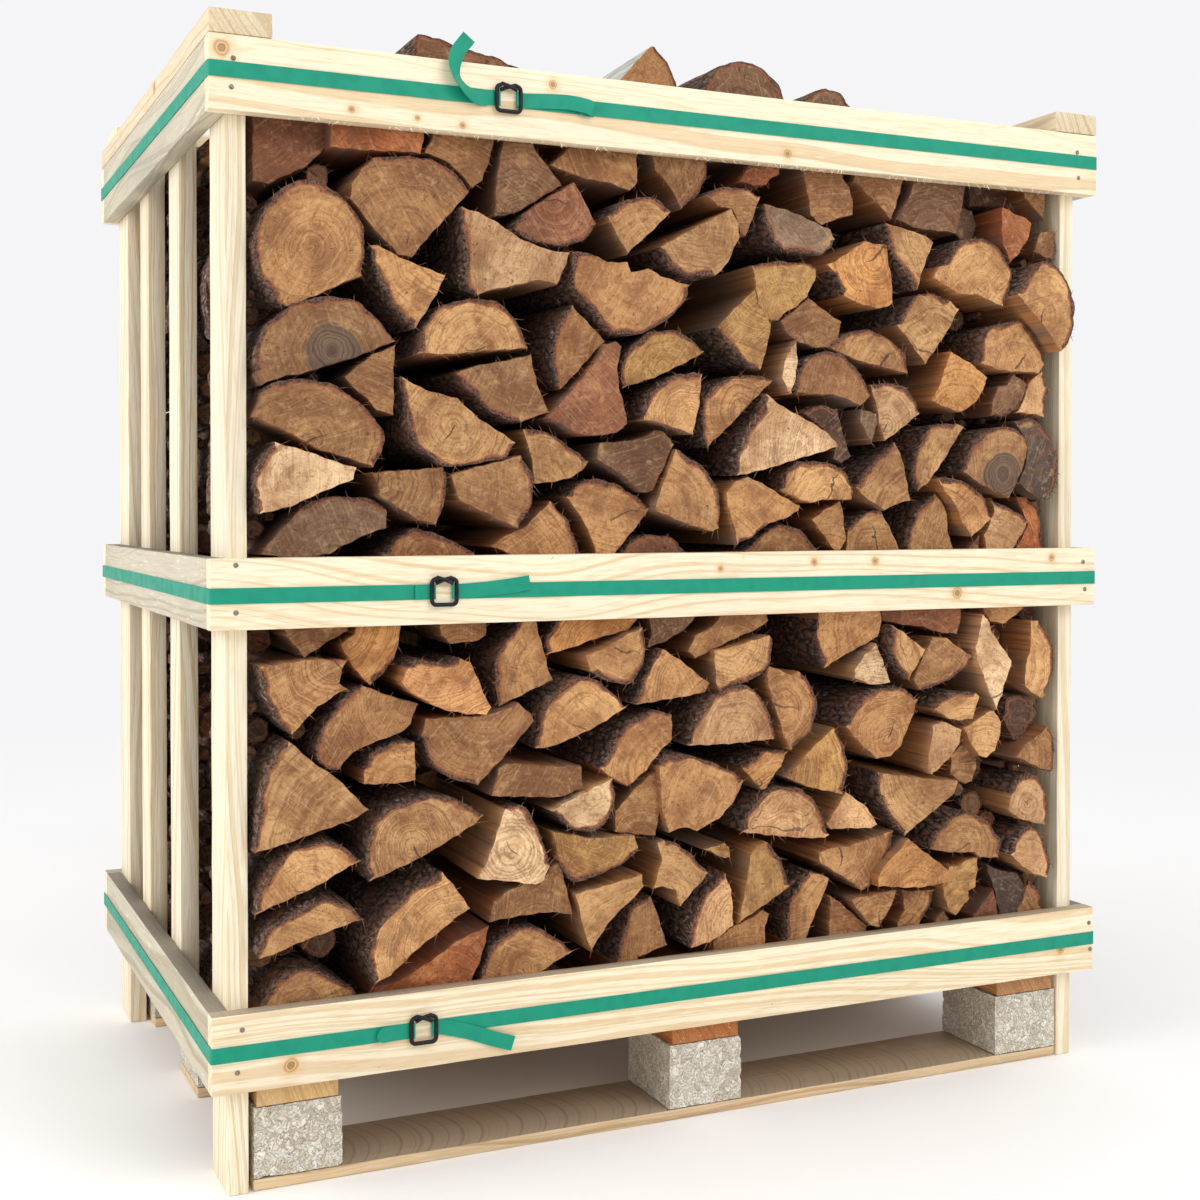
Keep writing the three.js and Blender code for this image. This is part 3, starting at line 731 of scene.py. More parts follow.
@dataclass(frozen=True)
class StudioFloor:
    """Matt pale studio floor that fades into the backdrop away from the crate."""

    backdrop: str = "#fdfdff"

    def build(self) -> Material:
        """Make the material.

        Returns:
            The material.
        """
        m = Paint("studio_floor", 0.9)
        node = m.node
        spot = node("TexCoord")
        m.dress(node("Mix", node("noise", spot, 3.0, 3.0), "#f6f5f3", "#f9f8f7"))
        away = node("VectorMath:LENGTH", spot, out="Value")
        glow = node("Emission", Color=self.backdrop, Strength=BACKDROP_LIGHT)
        mixed = node("MixShader", node("ramp", away, 1.2, 4.2), m.shader.outputs[0], glow)
        m.links.new(mixed, m.made.node_tree.nodes["Material Output"].inputs[0])
        return m.made


class Tone(Enum):
    """Colour of a log's sawn end, and how much of its heart is stained dark."""

    t = ("#bc8b57", 0.0)
    l = ("#cc9d66", 0.0)
    b = ("#a37446", 0.0)
    y = ("#bd9052", 0.0)
    p = ("#d5a877", 0.0)
    P = ("#e6c295", 0.0)
    q = ("#e0a469", 0.0)
    o = ("#b96f3d", 0.0)
    O = ("#d69a58", 0.0)
    r = ("#8f5a3a", 0.0)
    g = ("#8a7058", 0.25)
    s = ("#a87c4f", 1.0)
    w = ("#866040", 0.1)
    W = ("#785a40", 0.2)
    d = ("#5a3b26", 0.2)
    D = ("#55443a", 0.6)


# ---- making pieces

def clear_selection() -> None:
    """Deselect every object."""
    bpy.ops.object.select_all(action="DESELECT")


def take(*pieces: Piece) -> None:
    """Select these objects alone, the last one active.

    Args:
        *pieces: the objects.
    """
    clear_selection()
    for piece in pieces:
        piece.select_set(True)
    bpy.context.view_layer.objects.active = pieces[-1]


def named(name: str, *pieces: Piece) -> Piece:
    """Name a piece and its mesh, and join it first where it is made of several.

    Args:
        name: the piece's name.
        *pieces: what it is made of.

    Returns:
        The piece.
    """
    take(*pieces)
    if len(pieces) > 1:
        bpy.ops.object.join()
    pieces[-1].name = name
    pieces[-1].data.name = name
    return pieces[-1]


def settle(piece: Piece, slot: str, *nodes: str) -> None:
    """Let a piece ride on the crate and stand for its CAD nodes.

    Args:
        piece: the finished piece.
        slot: its material slot; not used.
        *nodes: the CAD nodes that it replaces.
    """
    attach(piece, "root")
    if nodes:
        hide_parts(*nodes)
    log.info("%s: %d faces", piece.name, len(piece.data.polygons))


def new_piece(name: str, corners: list, faces: list[tuple[int, ...]], *finishes: Material
              ) -> Piece:
    """Make an object from its corners and faces.

    Args:
        name: the name of the object and its mesh.
        corners: its corners in metres.
        faces: its faces.
        *finishes: its materials.

    Returns:
        The object.
    """
    mesh = bpy.data.meshes.new(name)
    mesh.from_pydata(corners, [], faces)
    for finish in finishes:
        mesh.materials.append(finish)
    piece = bpy.data.objects.new(name, mesh)
    bpy.context.scene.collection.objects.link(piece)
    return piece


def cube_between(low: Vector, high: Vector) -> Piece:
    """Make a cube primitive that fills a box, and return it selected alone.

    Args:
        low: the box's low corner.
        high: its high corner.

    Returns:
        The cube.
    """
    clear_selection()
    bpy.ops.mesh.primitive_cube_add(size=1, location=(low + high) / 2)
    bpy.context.object.scale = high - low
    bpy.ops.object.transform_apply(location=True, rotation=True, scale=True)
    return bpy.context.object


def write(mesh: bpy.types.Mesh, key: str, kind: str, domain: str, values: object) -> None:
    """Write one attribute on a mesh.

    Args:
        mesh: the mesh.
        key: the attribute's name.
        kind: FLOAT, FLOAT_VECTOR or FLOAT_COLOR.
        domain: POINT or CORNER.
        values: its value at each point or corner.
    """
    slot = {"FLOAT": "value", "FLOAT_VECTOR": "vector", "FLOAT_COLOR": "color"}[kind]
    flat = np.array(values, np.float32).ravel()
    mesh.attributes.new(key, kind, domain).data.foreach_set(slot, flat)


def round_edges(piece: Piece, width: float, angle: float) -> None:
    """Round a selected piece's edges with a bevel.

    Args:
        piece: the piece.
        width: the bevel's width in metres.
        angle: the least angle of an edge that is rounded, in degrees.
    """
    bevel = piece.modifiers.new("rounded", "BEVEL")
    bevel.width = width
    bevel.segments = 2
    bevel.limit_method = "ANGLE"
    bevel.angle_limit = math.radians(angle)
    bpy.ops.object.modifier_apply(modifier=bevel.name)


def turn_outwards(piece: Piece) -> None:
    """Select a closed piece alone and turn its faces outwards.

    Args:
        piece: the piece.
    """
    take(piece)
    bpy.ops.object.mode_set(mode="EDIT")
    bpy.ops.mesh.select_all(action="SELECT")
    bpy.ops.mesh.normals_make_consistent(inside=False)
    bpy.ops.object.mode_set(mode="OBJECT")


def smooth(angle: float) -> None:
    """Shade the selected piece smooth, but for edges past an angle in degrees."""
    bpy.ops.object.shade_smooth_by_angle(angle=math.radians(angle))


# ---- firewood

@dataclass
class Billet:
    """One split log's cross-section in millimetres, as seen from the front."""

    corners: list[tuple[float, float]]
    bark: list[bool]
    tone: Tone
    pith: tuple[float, float] | None = None
    depth: float | None = None

    @classmethod
    def read(cls, line: str) -> "Billet":
        """Read one line of the log tables.

        Args:
            line: the log's line.

        Returns:
            The log.
        """
        head, body = line.split("|")
        letters = head.split()
        corners, bark, pith = [], [], None
        for word in body.split():
            numbers = tuple(float(v) for v in word.strip("@~").split(","))
            if word.startswith("@"):
                pith = numbers
            else:
                corners.append(numbers)
                bark.append(word.endswith("~"))
        depth = float(letters[1]) if len(letters) > 1 else None
        return cls(corners, bark, Tone[letters[0]], pith, depth)

    def turned_left(self) -> tuple[np.ndarray, list[bool]]:
        """Return the corners anticlockwise, with the bark flags of the edges that follow.

        Returns:
            The corners and the flags.
        """
        points = np.array(self.corners)
        nxt = np.roll(points, -1, 0)
        if (points[:, 0] * nxt[:, 1] - nxt[:, 0] * points[:, 1]).sum() > 0:
            return points, list(self.bark)
        count = len(points)
        return points[::-1], [self.bark[(count - 2 - i) % count] for i in range(count)]

    def outline(self, spacing: float) -> tuple[np.ndarray, np.ndarray]:
        """Return the outline at an even spacing, curved along bark and straight along splits.

        Args:
            spacing: about how far apart the points are, in millimetres.

        Returns:
            The points, and for each whether the edge that follows is bark.
        """
        points, bark = self.turned_left()
        count = len(points)
        found, flags = [], []
        for index in range(count):
            start, end = points[index], points[(index + 1) % count]
            steps = max(1, int(round(np.linalg.norm(end - start) / spacing)))
            before = points[index - 1] if bark[index - 1] else 2 * start - end
            after = points[(index + 2) % count] if bark[(index + 1) % count] else 2 * end - start
            for step in range(steps):
                t = step / steps
                if bark[index]:
                    spot = 0.5 * (2 * start + (end - before) * t
                                  + (2 * before - 5 * start + 4 * end - after) * t * t
                                  + (3 * start - before - 3 * end + after) * t ** 3)
                else:
                    spot = start + (end - start) * t
                found.append(spot)
                flags.append(bark[index])
        return np.array(found), np.array(flags)

    def heart(self) -> tuple[float, float]:
        """Return the pith: the one given, or the middle of the circle through the bark.

        Returns:
            Its place across and up, in millimetres.
        """
        if self.pith:
            return self.pith
        points, flags = self.outline(6.0)
        rounded = points[flags]
        if len(rounded) < 5:
            middle = points.mean(0)
            return float(middle[0]), float(middle[1] - 45)
        matrix = np.column_stack([2 * rounded, np.ones(len(rounded))])
        found = np.linalg.lstsq(matrix, (rounded ** 2).sum(1), rcond=None)[0]
        middle = points.mean(0)
        found = found[:2] + 0.25 * (found[:2] - rounded.mean(0))
        reach = np.linalg.norm(found - middle)
        spot = middle + (found - middle) * min(1.0, 75.0 / max(reach, 1e-6))
        return float(spot[0]), float(spot[1])


@dataclass
class LogMesh:
    """Collects many logs in one mesh, with the attributes that their finishes read."""

    points: list[np.ndarray] = field(default_factory=list)
    section: list[np.ndarray] = field(default_factory=list)
    rim: list[np.ndarray] = field(default_factory=list)
    tone: list[np.ndarray] = field(default_factory=list)
    stain: list[np.ndarray] = field(default_factory=list)
    aged: list[np.ndarray] = field(default_factory=list)
    faces: list[tuple[int, ...]] = field(default_factory=list)
    finish: list[int] = field(default_factory=list)
    used: int = 0

    def add(self, points: np.ndarray, section: np.ndarray, rim: np.ndarray, tone: Tone,
            faces: list[tuple[int, ...]], finish: list[int], mirrored: bool,
            shade: float, aged: float) -> None:
        """Add one closed log.

        Args:
            points: its corners in metres.
            section: each corner's place from the pith, with the log's own number.
            rim: how far each corner lies in the bark, from 0 to 1.
            tone: the log's tone.
            faces: its faces, facing outwards unless mirrored.
            finish: each face's finish: 0 end, 1 split, 2 bark.
            mirrored: whether the points were mirrored, so that the faces turn round.
            shade: this log's own lightness.
            aged: how grey its split faces have weathered, from 0 to 1.
        """
        base = self.used
        for face in faces:
            moved = tuple(base + corner for corner in face)
            self.faces.append(moved[::-1] if mirrored else moved)
        self.finish += finish
        self.points.append(points)
        self.section.append(section)
        self.rim.append(rim)
        colour, stain = tone.value
        rgba = np.array(linear(colour)) * [shade, shade, shade, 1]
        self.tone.append(np.tile(rgba, (len(points), 1)))
        self.stain.append(np.full(len(points), stain))
        self.aged.append(np.full(len(points), aged))
        self.used += len(points)

    def build(self, name: str, finishes: list[Material]) -> Piece:
        """Make the object.

        Args:
            name: the piece's name.
            finishes: the end, split and bark materials.

        Returns:
            The piece, with its place in its mesh.
        """
        corners = np.concatenate(self.points).tolist()
        piece = new_piece(name, corners, self.faces, *finishes)
        mesh = piece.data
        mesh.polygons.foreach_set("material_index", self.finish)
        for key, kind, values in (
                ("section", "FLOAT_VECTOR", self.section), ("rim", "FLOAT", self.rim),
                ("tone", "FLOAT_COLOR", self.tone), ("stain", "FLOAT", self.stain),
                ("aged", "FLOAT", self.aged)):
            write(mesh, key, kind, "POINT", np.concatenate(values))
        mesh.polygons.foreach_set("use_smooth", [True] * len(self.faces))
        mesh.set_sharp_from_angle(angle=math.radians(38))
        mesh.update()
        return piece


@dataclass
class LogSaw:
    """Turns cross-sections into whole logs, each with its own bark relief and uneven ends."""

    bark_reach: float = 7.4
    split_reach: float = 0.9
    bark_relief: float = 1.7
    split_relief: float = 0.5
    tilt: float = 0.05
    seed: int = 11

    def __post_init__(self) -> None:
        """Start the random draws."""
        self.dice = np.random.default_rng(self.seed)

    def relief(self, run: np.ndarray, depth: float, phases: np.ndarray,
               bark: np.ndarray) -> np.ndarray:
        """Return how far the skin stands out at each outline point, in millimetres.

        Args:
            run: distance round the outline.
            depth: distance along the log.
            phases: this log's own phases.
            bark: 1 on bark and 0 on a split.

        Returns:
            One distance for each point.
        """
        swell = np.sin(run / phases[6] + phases[0] + depth / 70)
        wave = np.sin(run / phases[7] + phases[1] + 1.2 * np.sin(depth / 33 + phases[2]))
        chip = np.sin(run / phases[8] + phases[5] + depth / 13)
        plates = self.bark_relief * (0.45 * swell + 0.75 * wave * (0.55 + 0.45 * swell) - 0.35)
        plates += 0.55 * chip * (0.6 - 0.4 * wave)
        fibres = self.split_relief * (np.sin(run / 3.4 + phases[3] + depth / 160)
                                      + 0.8 * np.sin(run / 11 + phases[4] + depth / 70))
        return bark * plates + (1 - bark) * fibres

    def cut(self, target: LogMesh, billet: Billet, front: float, length: float,
            spacing: float, stations: list[float], limits: tuple[float, float],
            place: Callable[[np.ndarray], np.ndarray], mirrored: bool, least: float,
            fringe: int = 0, aged: float = 0.0) -> None:
        """Cut one log and add it to a mesh.

        Args:
            target: the mesh it joins.
            billet: its cross-section.
            front: how deep its front end lies, in millimetres.
            length: its length in millimetres.
            spacing: about how far apart the outline's points are.
            stations: where its skin has rings, as shares of the length.
            limits: the least and greatest place across that it may reach.
            place: turns across, deep, height in millimetres into the row frame in metres.
            mirrored: whether place mirrors the log.
            least: the least depth that the front end may reach.
            fringe: how many torn fibres stand from the front end's edge.
            aged: how grey its split faces have weathered, from 0 to 1.
        """
        points, flags = billet.outline(spacing)
        count = len(points)
        bark = (flags & np.roll(flags, 1)).astype(float)
        along = np.roll(points, -1, 0) - np.roll(points, 1, 0)
        along /= np.maximum(np.linalg.norm(along, axis=1, keepdims=True), 1e-9)
        out = np.column_stack([along[:, 1], -along[:, 0]])
        run = np.concatenate([[0], np.cumsum(np.linalg.norm(np.diff(points, axis=0), axis=1))])
        phases = np.concatenate([self.dice.uniform(0, 2 * math.pi, 6),
                                 self.dice.uniform((11, 3.6, 1.7), (19, 6.0, 2.6))])
        slope = self.dice.uniform(-self.tilt, self.tilt, 2)
        drift = self.dice.uniform(-4, 4, 2)
        taper = self.dice.uniform(0.94, 1.02)
        number = self.dice.uniform(0, 9)
        shade = self.dice.uniform(0.84, 1.26)
        ragged = self.dice.uniform(-0.7, 0.7, count)
        middle = points.mean(0)
        heart = np.array(billet.heart())
        rings = []

        def ring(outline: np.ndarray, deep: np.ndarray) -> None:
            """Keep one ring of corners."""
            across = np.clip(outline[:, 0], *limits)
            rings.append(np.column_stack([across, deep, outline[:, 1]]))

        worn = 0.75 + 0.45 * np.sin(run / 31 + phases[3]) * np.sin(run / 13 + phases[4])
        reach = np.where(bark > 0, self.bark_reach * worn, self.split_reach)
        bulk = math.sqrt(max(np.ptp(points[:, 0]) * np.ptp(points[:, 1]), 1.0))
        reach = np.minimum(reach, 0.11 * bulk)[:, None]
        for share in stations:
            depth = share * length
            size = 1 + (taper - 1) * share
            skin = points - out * 0.7 + out * self.relief(run, depth, phases, bark)[:, None]
            chamfer = 0.6 if share in (0.0, 1.0) else 0.0
            skin = middle + (skin - out * chamfer - middle) * size + drift * share
            lean = (skin - middle) @ slope * (1 if share < 0.5 else -0.6)
            end_wear = ragged if share in (0.0, 1.0) else 0.0
            fade = max(0.0, 1 - 8 * min(share, 1 - share))
            deep = front + depth + lean * fade + end_wear
            deep = np.clip(deep, least, front + length + 2)
            ring(skin, deep)
        for end in (0, len(stations) - 1):
            skin = rings[end]
            inner = skin[:, [0, 2]] - out * reach
            deep = np.clip(skin[:, 1].mean() + (inner - middle) @ slope
                           * (1 if end == 0 else -0.6), least, front + length + 2)
            rings.append(np.column_stack([inner[:, 0], deep, inner[:, 1]]))
        corners = np.concatenate(rings)
        faces, finish = [], []
        levels = len(stations)
        for level in range(levels - 1):
            for i in range(count):
                j = (i + 1) % count
                near, far = level * count, (level + 1) * count
                faces.append((near + i, far + i, far + j, near + j))
                finish.append(2 if flags[i] else 1)
        for cap, (outer, inner) in enumerate(((0, levels), (levels - 1, levels + 1))):
            for i in range(count):
                j = (i + 1) % count
                face = (outer * count + i, outer * count + j, inner * count + j,
                        inner * count + i)
                faces.append(face if cap == 0 else face[::-1])
                finish.append(0)
            loop = [Vector((spot[0], spot[2], 0)) for spot in rings[inner]]
            for a, b, c in tessellate_polygon([loop]):
                turn = (loop[b] - loop[a]).cross(loop[c] - loop[a]).z
                face = (a, b, c) if (turn > 0) == (cap == 0) else (c, b, a)
                faces.append(tuple(inner * count + k for k in face))
                finish.append(0)
        rim = np.zeros(len(corners))
        for level in range(levels):
            rim[level * count:(level + 1) * count] = bark
        hairs = []
        for start in self.dice.choice(count, min(fringe, count), replace=False):
            root, lean = rings[0][start], self.dice.uniform(-2.2, 2.2)
            way = out[start] + lean * along[start]
            long, fat = self.dice.uniform(2, 9), self.dice.uniform(0.25, 0.55)
            base = len(corners) + len(hairs)
            tip = np.array([root[0] + way[0] * long, max(root[1] - self.dice.uniform(0, 3), least),
                            root[2] + way[1] * long])
            side = np.array([along[start][0], 0, along[start][1]]) * fat
            near = root - np.array([out[start][0], 0, out[start][1]]) * 1.5
            for spot in (near - side + (0, 0.8, 0), near + side + (0, 0.8, 0),
                         near + (0, 2.6, 0), tip):
                spot = np.array([np.clip(spot[0], *limits), spot[1], spot[2]])
                hairs.append(spot)
            faces += [(base, base + 1, base + 3), (base + 1, base + 2, base + 3),
                      (base + 2, base, base + 3), (base, base + 2, base + 1)]
            finish += [1] * 4
        if hairs:
            corners = np.concatenate([corners, np.array(hairs)])
            rim = np.concatenate([rim, np.zeros(len(hairs))])
        section = np.column_stack([(corners[:, 0] - heart[0]) * MM,
                                   (corners[:, 2] - heart[1]) * MM,
                                   np.full(len(corners), number)])
        target.add(place(corners), section, rim, billet.tone, faces, finish, mirrored, shade,
                   aged)


@dataclass
class Ground:
    """Where the crate's front left corner lies in the row frame."""

    left: float = 0.0
    front: float = 0.0
    wide: float = 1124.0
    deep: float = 750.0

    @classmethod
    def measure(cls) -> "Ground":
        """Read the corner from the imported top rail.

        Returns:
            The ground.
        """
        low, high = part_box("rail_front_top")
        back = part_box("rail_back_top")[1]
        return cls(low[0], low[1], (high[0] - low[0]) / MM, (back[1] - low[1]) / MM)

    def spot(self, across: float, deep: float, height: float) -> Vector:
        """Turn across, deep and height in millimetres into a place in metres."""
        return Vector((self.left + across * MM, self.front + deep * MM, height * MM))

    def spots(self, corners: np.ndarray) -> np.ndarray:
        """Turn an array of across, deep and height in millimetres into places in metres."""
        return corners * MM + np.array([self.left, self.front, 0.0])


@dataclass
class WoodPile:
    """Three rows of split logs, the loose ones on top, and what fills behind the rails."""

    ground: Ground
    finishes: list[Material]
    eye_across: float = -332.5
    eye_deep: float = -1671.0
    eye_height: float = 704.0
    drawn_at: float = 8.0
    rails: tuple[tuple[float, float], ...] = ((111, 192), (580, 653), (1102, 1178))
    behind_rail: float = 21.6
    columns: int = 5
    inner: tuple[float, float] = (43.5, 1080.5)
    row_gap: float = 252.0

    def placed(self, billet: Billet, front: float) -> Billet:
        """Return the billet as it lies with its end at a depth, so it looks as drawn.

        Args:
            billet: the cross-section as drawn on one plane.
            front: how deep its front end lies.

        Returns:
            The placed billet.
        """
        grow = (front - self.eye_deep) / (self.drawn_at - self.eye_deep)
        corners = [(self.eye_across + (x - self.eye_across) * grow,
                    self.eye_height + (z - self.eye_height) * grow) for x, z in billet.corners]
        pith = None
        if billet.pith:
            pith = (self.eye_across + (billet.pith[0] - self.eye_across) * grow,
                    self.eye_height + (billet.pith[1] - self.eye_height) * grow)
        return Billet(corners, billet.bark, billet.tone, pith, front)

    def depth_of(self, billet: Billet, dice: np.random.Generator) -> float:
        """Return how deep a log's front end lies.

        Args:
            billet: the log.
            dice: random draws for a log with no set-back.

        Returns:
            The depth in millimetres.
        """
        heights = [z for _, z in billet.corners]
        front = billet.depth if billet.depth is not None else float(dice.uniform(5, 16))
        hidden = any(min(heights) < top and max(heights) > low for low, top in self.rails)
        return max(front, self.behind_rail) if hidden and front > 0 else front

    def fill(self, seed: int) -> list[Billet]:
        """Return logs for the strips that the rails hide, and for the heap's top.

        Args:
            seed: starts the random draws.

        Returns:
            The logs.
        """
        dice = np.random.default_rng(seed)
        found = []
        for low, top, rounded in ((128, 190, False), (582, 652, False), (1104, 1162, True)):
            across = self.inner[0] + 1.0
            while across < self.inner[1] - 40:
                wide = float(dice.uniform(88, 128) if rounded else dice.uniform(62, 104))
                end = min(across + wide, self.inner[1] - 1)
                if self.inner[1] - end < 40:
                    end = self.inner[1] - 1
                wide = end - across
                tall = top - low - float(dice.uniform(0, 9))
                shares = [(0, 0, False), (1, 0, True), (0.97, 0.35, True), (0.82, 0.78, True),
                          (0.5, 1, True), (0.18, 0.8, True), (0.03, 0.38, True)]
                if rounded and dice.random() < 0.4:
                    shares = [(0, 0, False), (1, 0, True), (0.96, 0.5, True),
                              (0.6, 1, False), (0.08, 0.55, False)]
                if not rounded and dice.random() < 0.5:
                    shares = [(0, 0.05, False), (0.98, 0, False), (1, 0.9, False),
                              (0.45, 1, False)]
                corners = [(across + 0.5 + sx * (wide - 1),
                            low + sz * tall + float(dice.uniform(-2, 2)) * (0 < sz < 1))
                           for sx, sz, _ in shares]
                tone = list(Tone)[int(dice.integers(0, 4))]
                found.append(Billet(corners, [s[2] for s in shares], tone, None,
                                    float(dice.uniform(24, 34))))
                across = end
        return found

    def fitted(self, billet: Billet) -> Billet:
        """Return the billet squeezed sideways where it would pass a side wall.

        Args:
            billet: the log.

        Returns:
            The billet that fits.
        """
        low, high = self.inner[0] + 1, self.inner[1] - 1
        left = min(x for x, _ in billet.corners)
        right = max(x for x, _ in billet.corners)
        if billet.depth <= 0 or (left >= low and right <= high):
            return billet
        new_left, new_right = max(left, low), min(right, high)
        grow = (new_right - new_left) / (right - left)
        corners = [(new_left + (x - left) * grow, z) for x, z in billet.corners]
        pith = billet.pith and (new_left + (billet.pith[0] - left) * grow, billet.pith[1])
        return Billet(corners, billet.bark, billet.tone, pith, billet.depth)

    def branches(self, laid: list[Billet], strips: list[tuple[float, float]], least: float,
                 gap: float, dice: np.random.Generator) -> list[Billet]:
        """Return thin branches that fill the gaps between the logs in some upright strips.

        Args:
            laid: the logs already in place.
            strips: where each strip starts and ends across.
            least: the radius of the smallest gap that is filled.
            gap: how far a branch stays from its neighbours, below nought where they press in.
            dice: this row's random draws.

        Returns:
            The branches' cross-sections.
        """
        starts = np.concatenate([np.array(b.corners) for b in laid])
        ends = np.concatenate([np.roll(np.array(b.corners), -1, 0) for b in laid])
        found = []
        for low, high in strips:
            across, height = np.meshgrid(np.arange(low + 6, high - 5, 4.0),
                                         np.arange(198.0, 1098.0, 4.0))
            spots = np.column_stack([across.ravel(), height.ravel()])
            near = ((starts[:, 0] > low - 160) & (starts[:, 0] < high + 160))
            first, last = starts[near], ends[near]
            run = last - first
            share = ((spots[:, None] - first) * run).sum(2) / np.maximum((run ** 2).sum(1), 1e-9)
            foot = first + np.clip(share, 0, 1)[..., None] * run
            room = np.linalg.norm(spots[:, None] - foot, axis=2).min(1)
            for billet in laid:
                corners = np.array(billet.corners)
                inside = np.zeros(len(spots), bool)
                for (x0, z0), (x1, z1) in zip(corners, np.roll(corners, -1, 0)):
                    if z0 == z1:
                        continue
                    crosses = (spots[:, 1] < z0) != (spots[:, 1] < z1)
                    inside ^= crosses & (spots[:, 0] < x0 + (spots[:, 1] - z0) * (x1 - x0)
                                         / (z1 - z0))
                room[inside] = 0
            wall = np.minimum(spots[:, 0] - self.inner[0], self.inner[1] - spots[:, 0]) - 1
            room = np.minimum(room, wall)
            while room.max() > least:
                best = int(room.argmax())
                middle, radius = spots[best], min(float(room[best]) - gap, 26.0)
                sides = int(dice.integers(6, 9))
                corners = [(middle[0] + radius * math.cos(a) * f, middle[1] + radius
                            * math.sin(a) * f) for a, f in
                           zip(np.linspace(0, 2 * math.pi, sides, endpoint=False)
                               + dice.uniform(0, 1), dice.uniform(0.86, 1.06, sides))]
                bark = [bool(dice.random() < 0.75)] * sides
                tone = (Tone.w, Tone.W, Tone.r, Tone.d)[int(dice.integers(0, 4))]
                found.append(Billet(corners, bark, tone, None, float(dice.uniform(48, 84))))
                room = np.minimum(room, np.linalg.norm(spots - middle, axis=1) - radius)
        return found

    def stack(self, row: str, billets: list[Billet], seed: int) -> None:
        """Cut one row of logs and group them in pieces.

        Args:
            row: front, middle or rear.
            billets: the cross-sections, as drawn on one plane and seen from the front.
            seed: starts this row's random draws.
        """
        saw = LogSaw(seed=seed)
        dice = np.random.default_rng(seed + 1)
        fine = [0, 0.008, 0.033, 0.09, 0.19, 0.33, 0.54, 0.79, 0.985, 1]
        plain = [0, 0.02, 0.08, 0.25, 0.45, 0.7, 0.98, 1]
        laid = []
        for billet in billets:
            front = self.depth_of(billet, dice)
            if row != "front":
                front = max(front, 4.0)
                billet = Billet(billet.corners, billet.bark, billet.tone, billet.pith, front)
            else:
                billet = self.placed(billet, front)
            laid.append(self.fitted(billet))
        walls = [(self.inner[0], self.inner[0] + 90), (self.inner[1] - 130, self.inner[1])]
        if row == "front":
            laid += self.branches(laid, walls, 5.5, 0.4, dice)
        else:
            heart = (self.inner[0] + 90, self.inner[1] - 130) if row == "middle" else (450, 700)
            laid += self.branches(laid, walls + [heart], 4.0, -1.6, dice)

        def place(corners: np.ndarray) -> np.ndarray:
            """Put the row's corners in the crate.

            Args:
                corners: the corners in millimetres.

            Returns:
                The corners in metres.
            """
            moved = corners.copy()
            if row == "rear":
                moved[:, 1] = self.ground.deep - moved[:, 1]
            elif row == "middle":
                moved[:, 0] = self.ground.wide - moved[:, 0]
                moved[:, 1] += self.row_gap - 6
            return self.ground.spots(moved)

        meshes: dict[int, LogMesh] = {}
        for billet, group in zip(laid, self.groups(laid)):
            front = billet.depth
            least = min(front, self.behind_rail) if front >= self.behind_rail else min(front, 2.5)
            spots = np.array(billet.corners)
            seen = (spots[:, 0].min() < 110 or spots[:, 0].max() > 1014
                    or spots[:, 1].max() > 1120)
            spacing, stations = 5.2, fine
            if row == "rear" or (row == "middle" and seen):
                spacing, stations = 8.0, plain
            elif row == "middle":
                spacing, stations = 17.0, [0, 0.5, 1]
            limits = self.inner if front > 0 else (0.0, self.ground.wide)
            saw.cut(meshes.setdefault(group, LogMesh()), billet, front, 248.0 - max(front, 8.0),
                    spacing, stations, limits, place, row != "front", least,
                    15 if row == "front" else 0)
        for group, mesh in sorted(meshes.items()):
            piece = mesh.build(f"{row}_logs_{group}", self.finishes)
            settle(piece, "firewood", f"log_row_{row}")

    def groups(self, billets: list[Billet]) -> list[int]:
        """Return each log's group: five columns in each of the two bays.

        Args:
            billets: the logs.

        Returns:
            One group number for each log.
        """
        found = []
        for billet in billets:
            middle = np.mean(billet.corners, axis=0)
            column = int(np.clip((middle[0] - 43) / (1038 / self.columns), 0, self.columns - 1))
            found.append(1 + column + (self.columns if middle[1] < 616 else 0))
        return found

    def loose(self) -> None:
        """Cut the loose logs that lie on the heap."""
        saw = LogSaw(seed=41, tilt=0.04)
        rows = ((282, 147, 150, 54, "worn", 3, "w"), (496, 145, 104, 72, "split", -4, "b"),
                (626, 149, 122, 64, "half", 1, "w"), (737, 146, 84, 42, "half", 1, "W"),
                (418, 417, 140, 60, "half", 8, "t"), (800, 405, 120, 66, "split", -7, "t"),
                (592, 538, 132, 56, "half", -5, "b"))
        for number, (across, deep, wide, tall, shape, turn, tone) in enumerate(rows, 1):
            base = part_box(f"loose_log_{number}")[0][2] / MM + 0.6
            shares = [(-0.5, 0, False), (0.5, 0, True), (0.47, 0.3, True), (0.36, 0.66, True),
                      (0.17, 0.92, True), (-0.03, 0.99, True), (-0.24, 0.86, True),
                      (-0.4, 0.58, True), (-0.49, 0.25, True)]
            if shape == "split":
                shares = [(-0.42, 0, False), (0.49, 0, True), (0.49, 0.3, True),
                          (0.37, 0.66, True), (0.2, 0.88, True), (0.155, 0.9, False),
                          (-0.245, 0.27, False)]
            if shape == "worn":
                shares = [(-0.48, 0, False), (0.62, 0, False), (0.58, 0.2, True),
                          (0.44, 0.37, True), (0.3, 0.5, True), (0.17, 0.6, True),
                          (-0.21, 0.78, True), (-0.41, 0.83, True), (-0.47, 0.4, True)]
            corners = [(sx * wide * 0.98, base + sz * (tall - 2.2)) for sx, sz, _ in shares]
            billet = Billet(corners, [s[2] for s in shares], Tone[tone])
            angle = math.radians(turn)

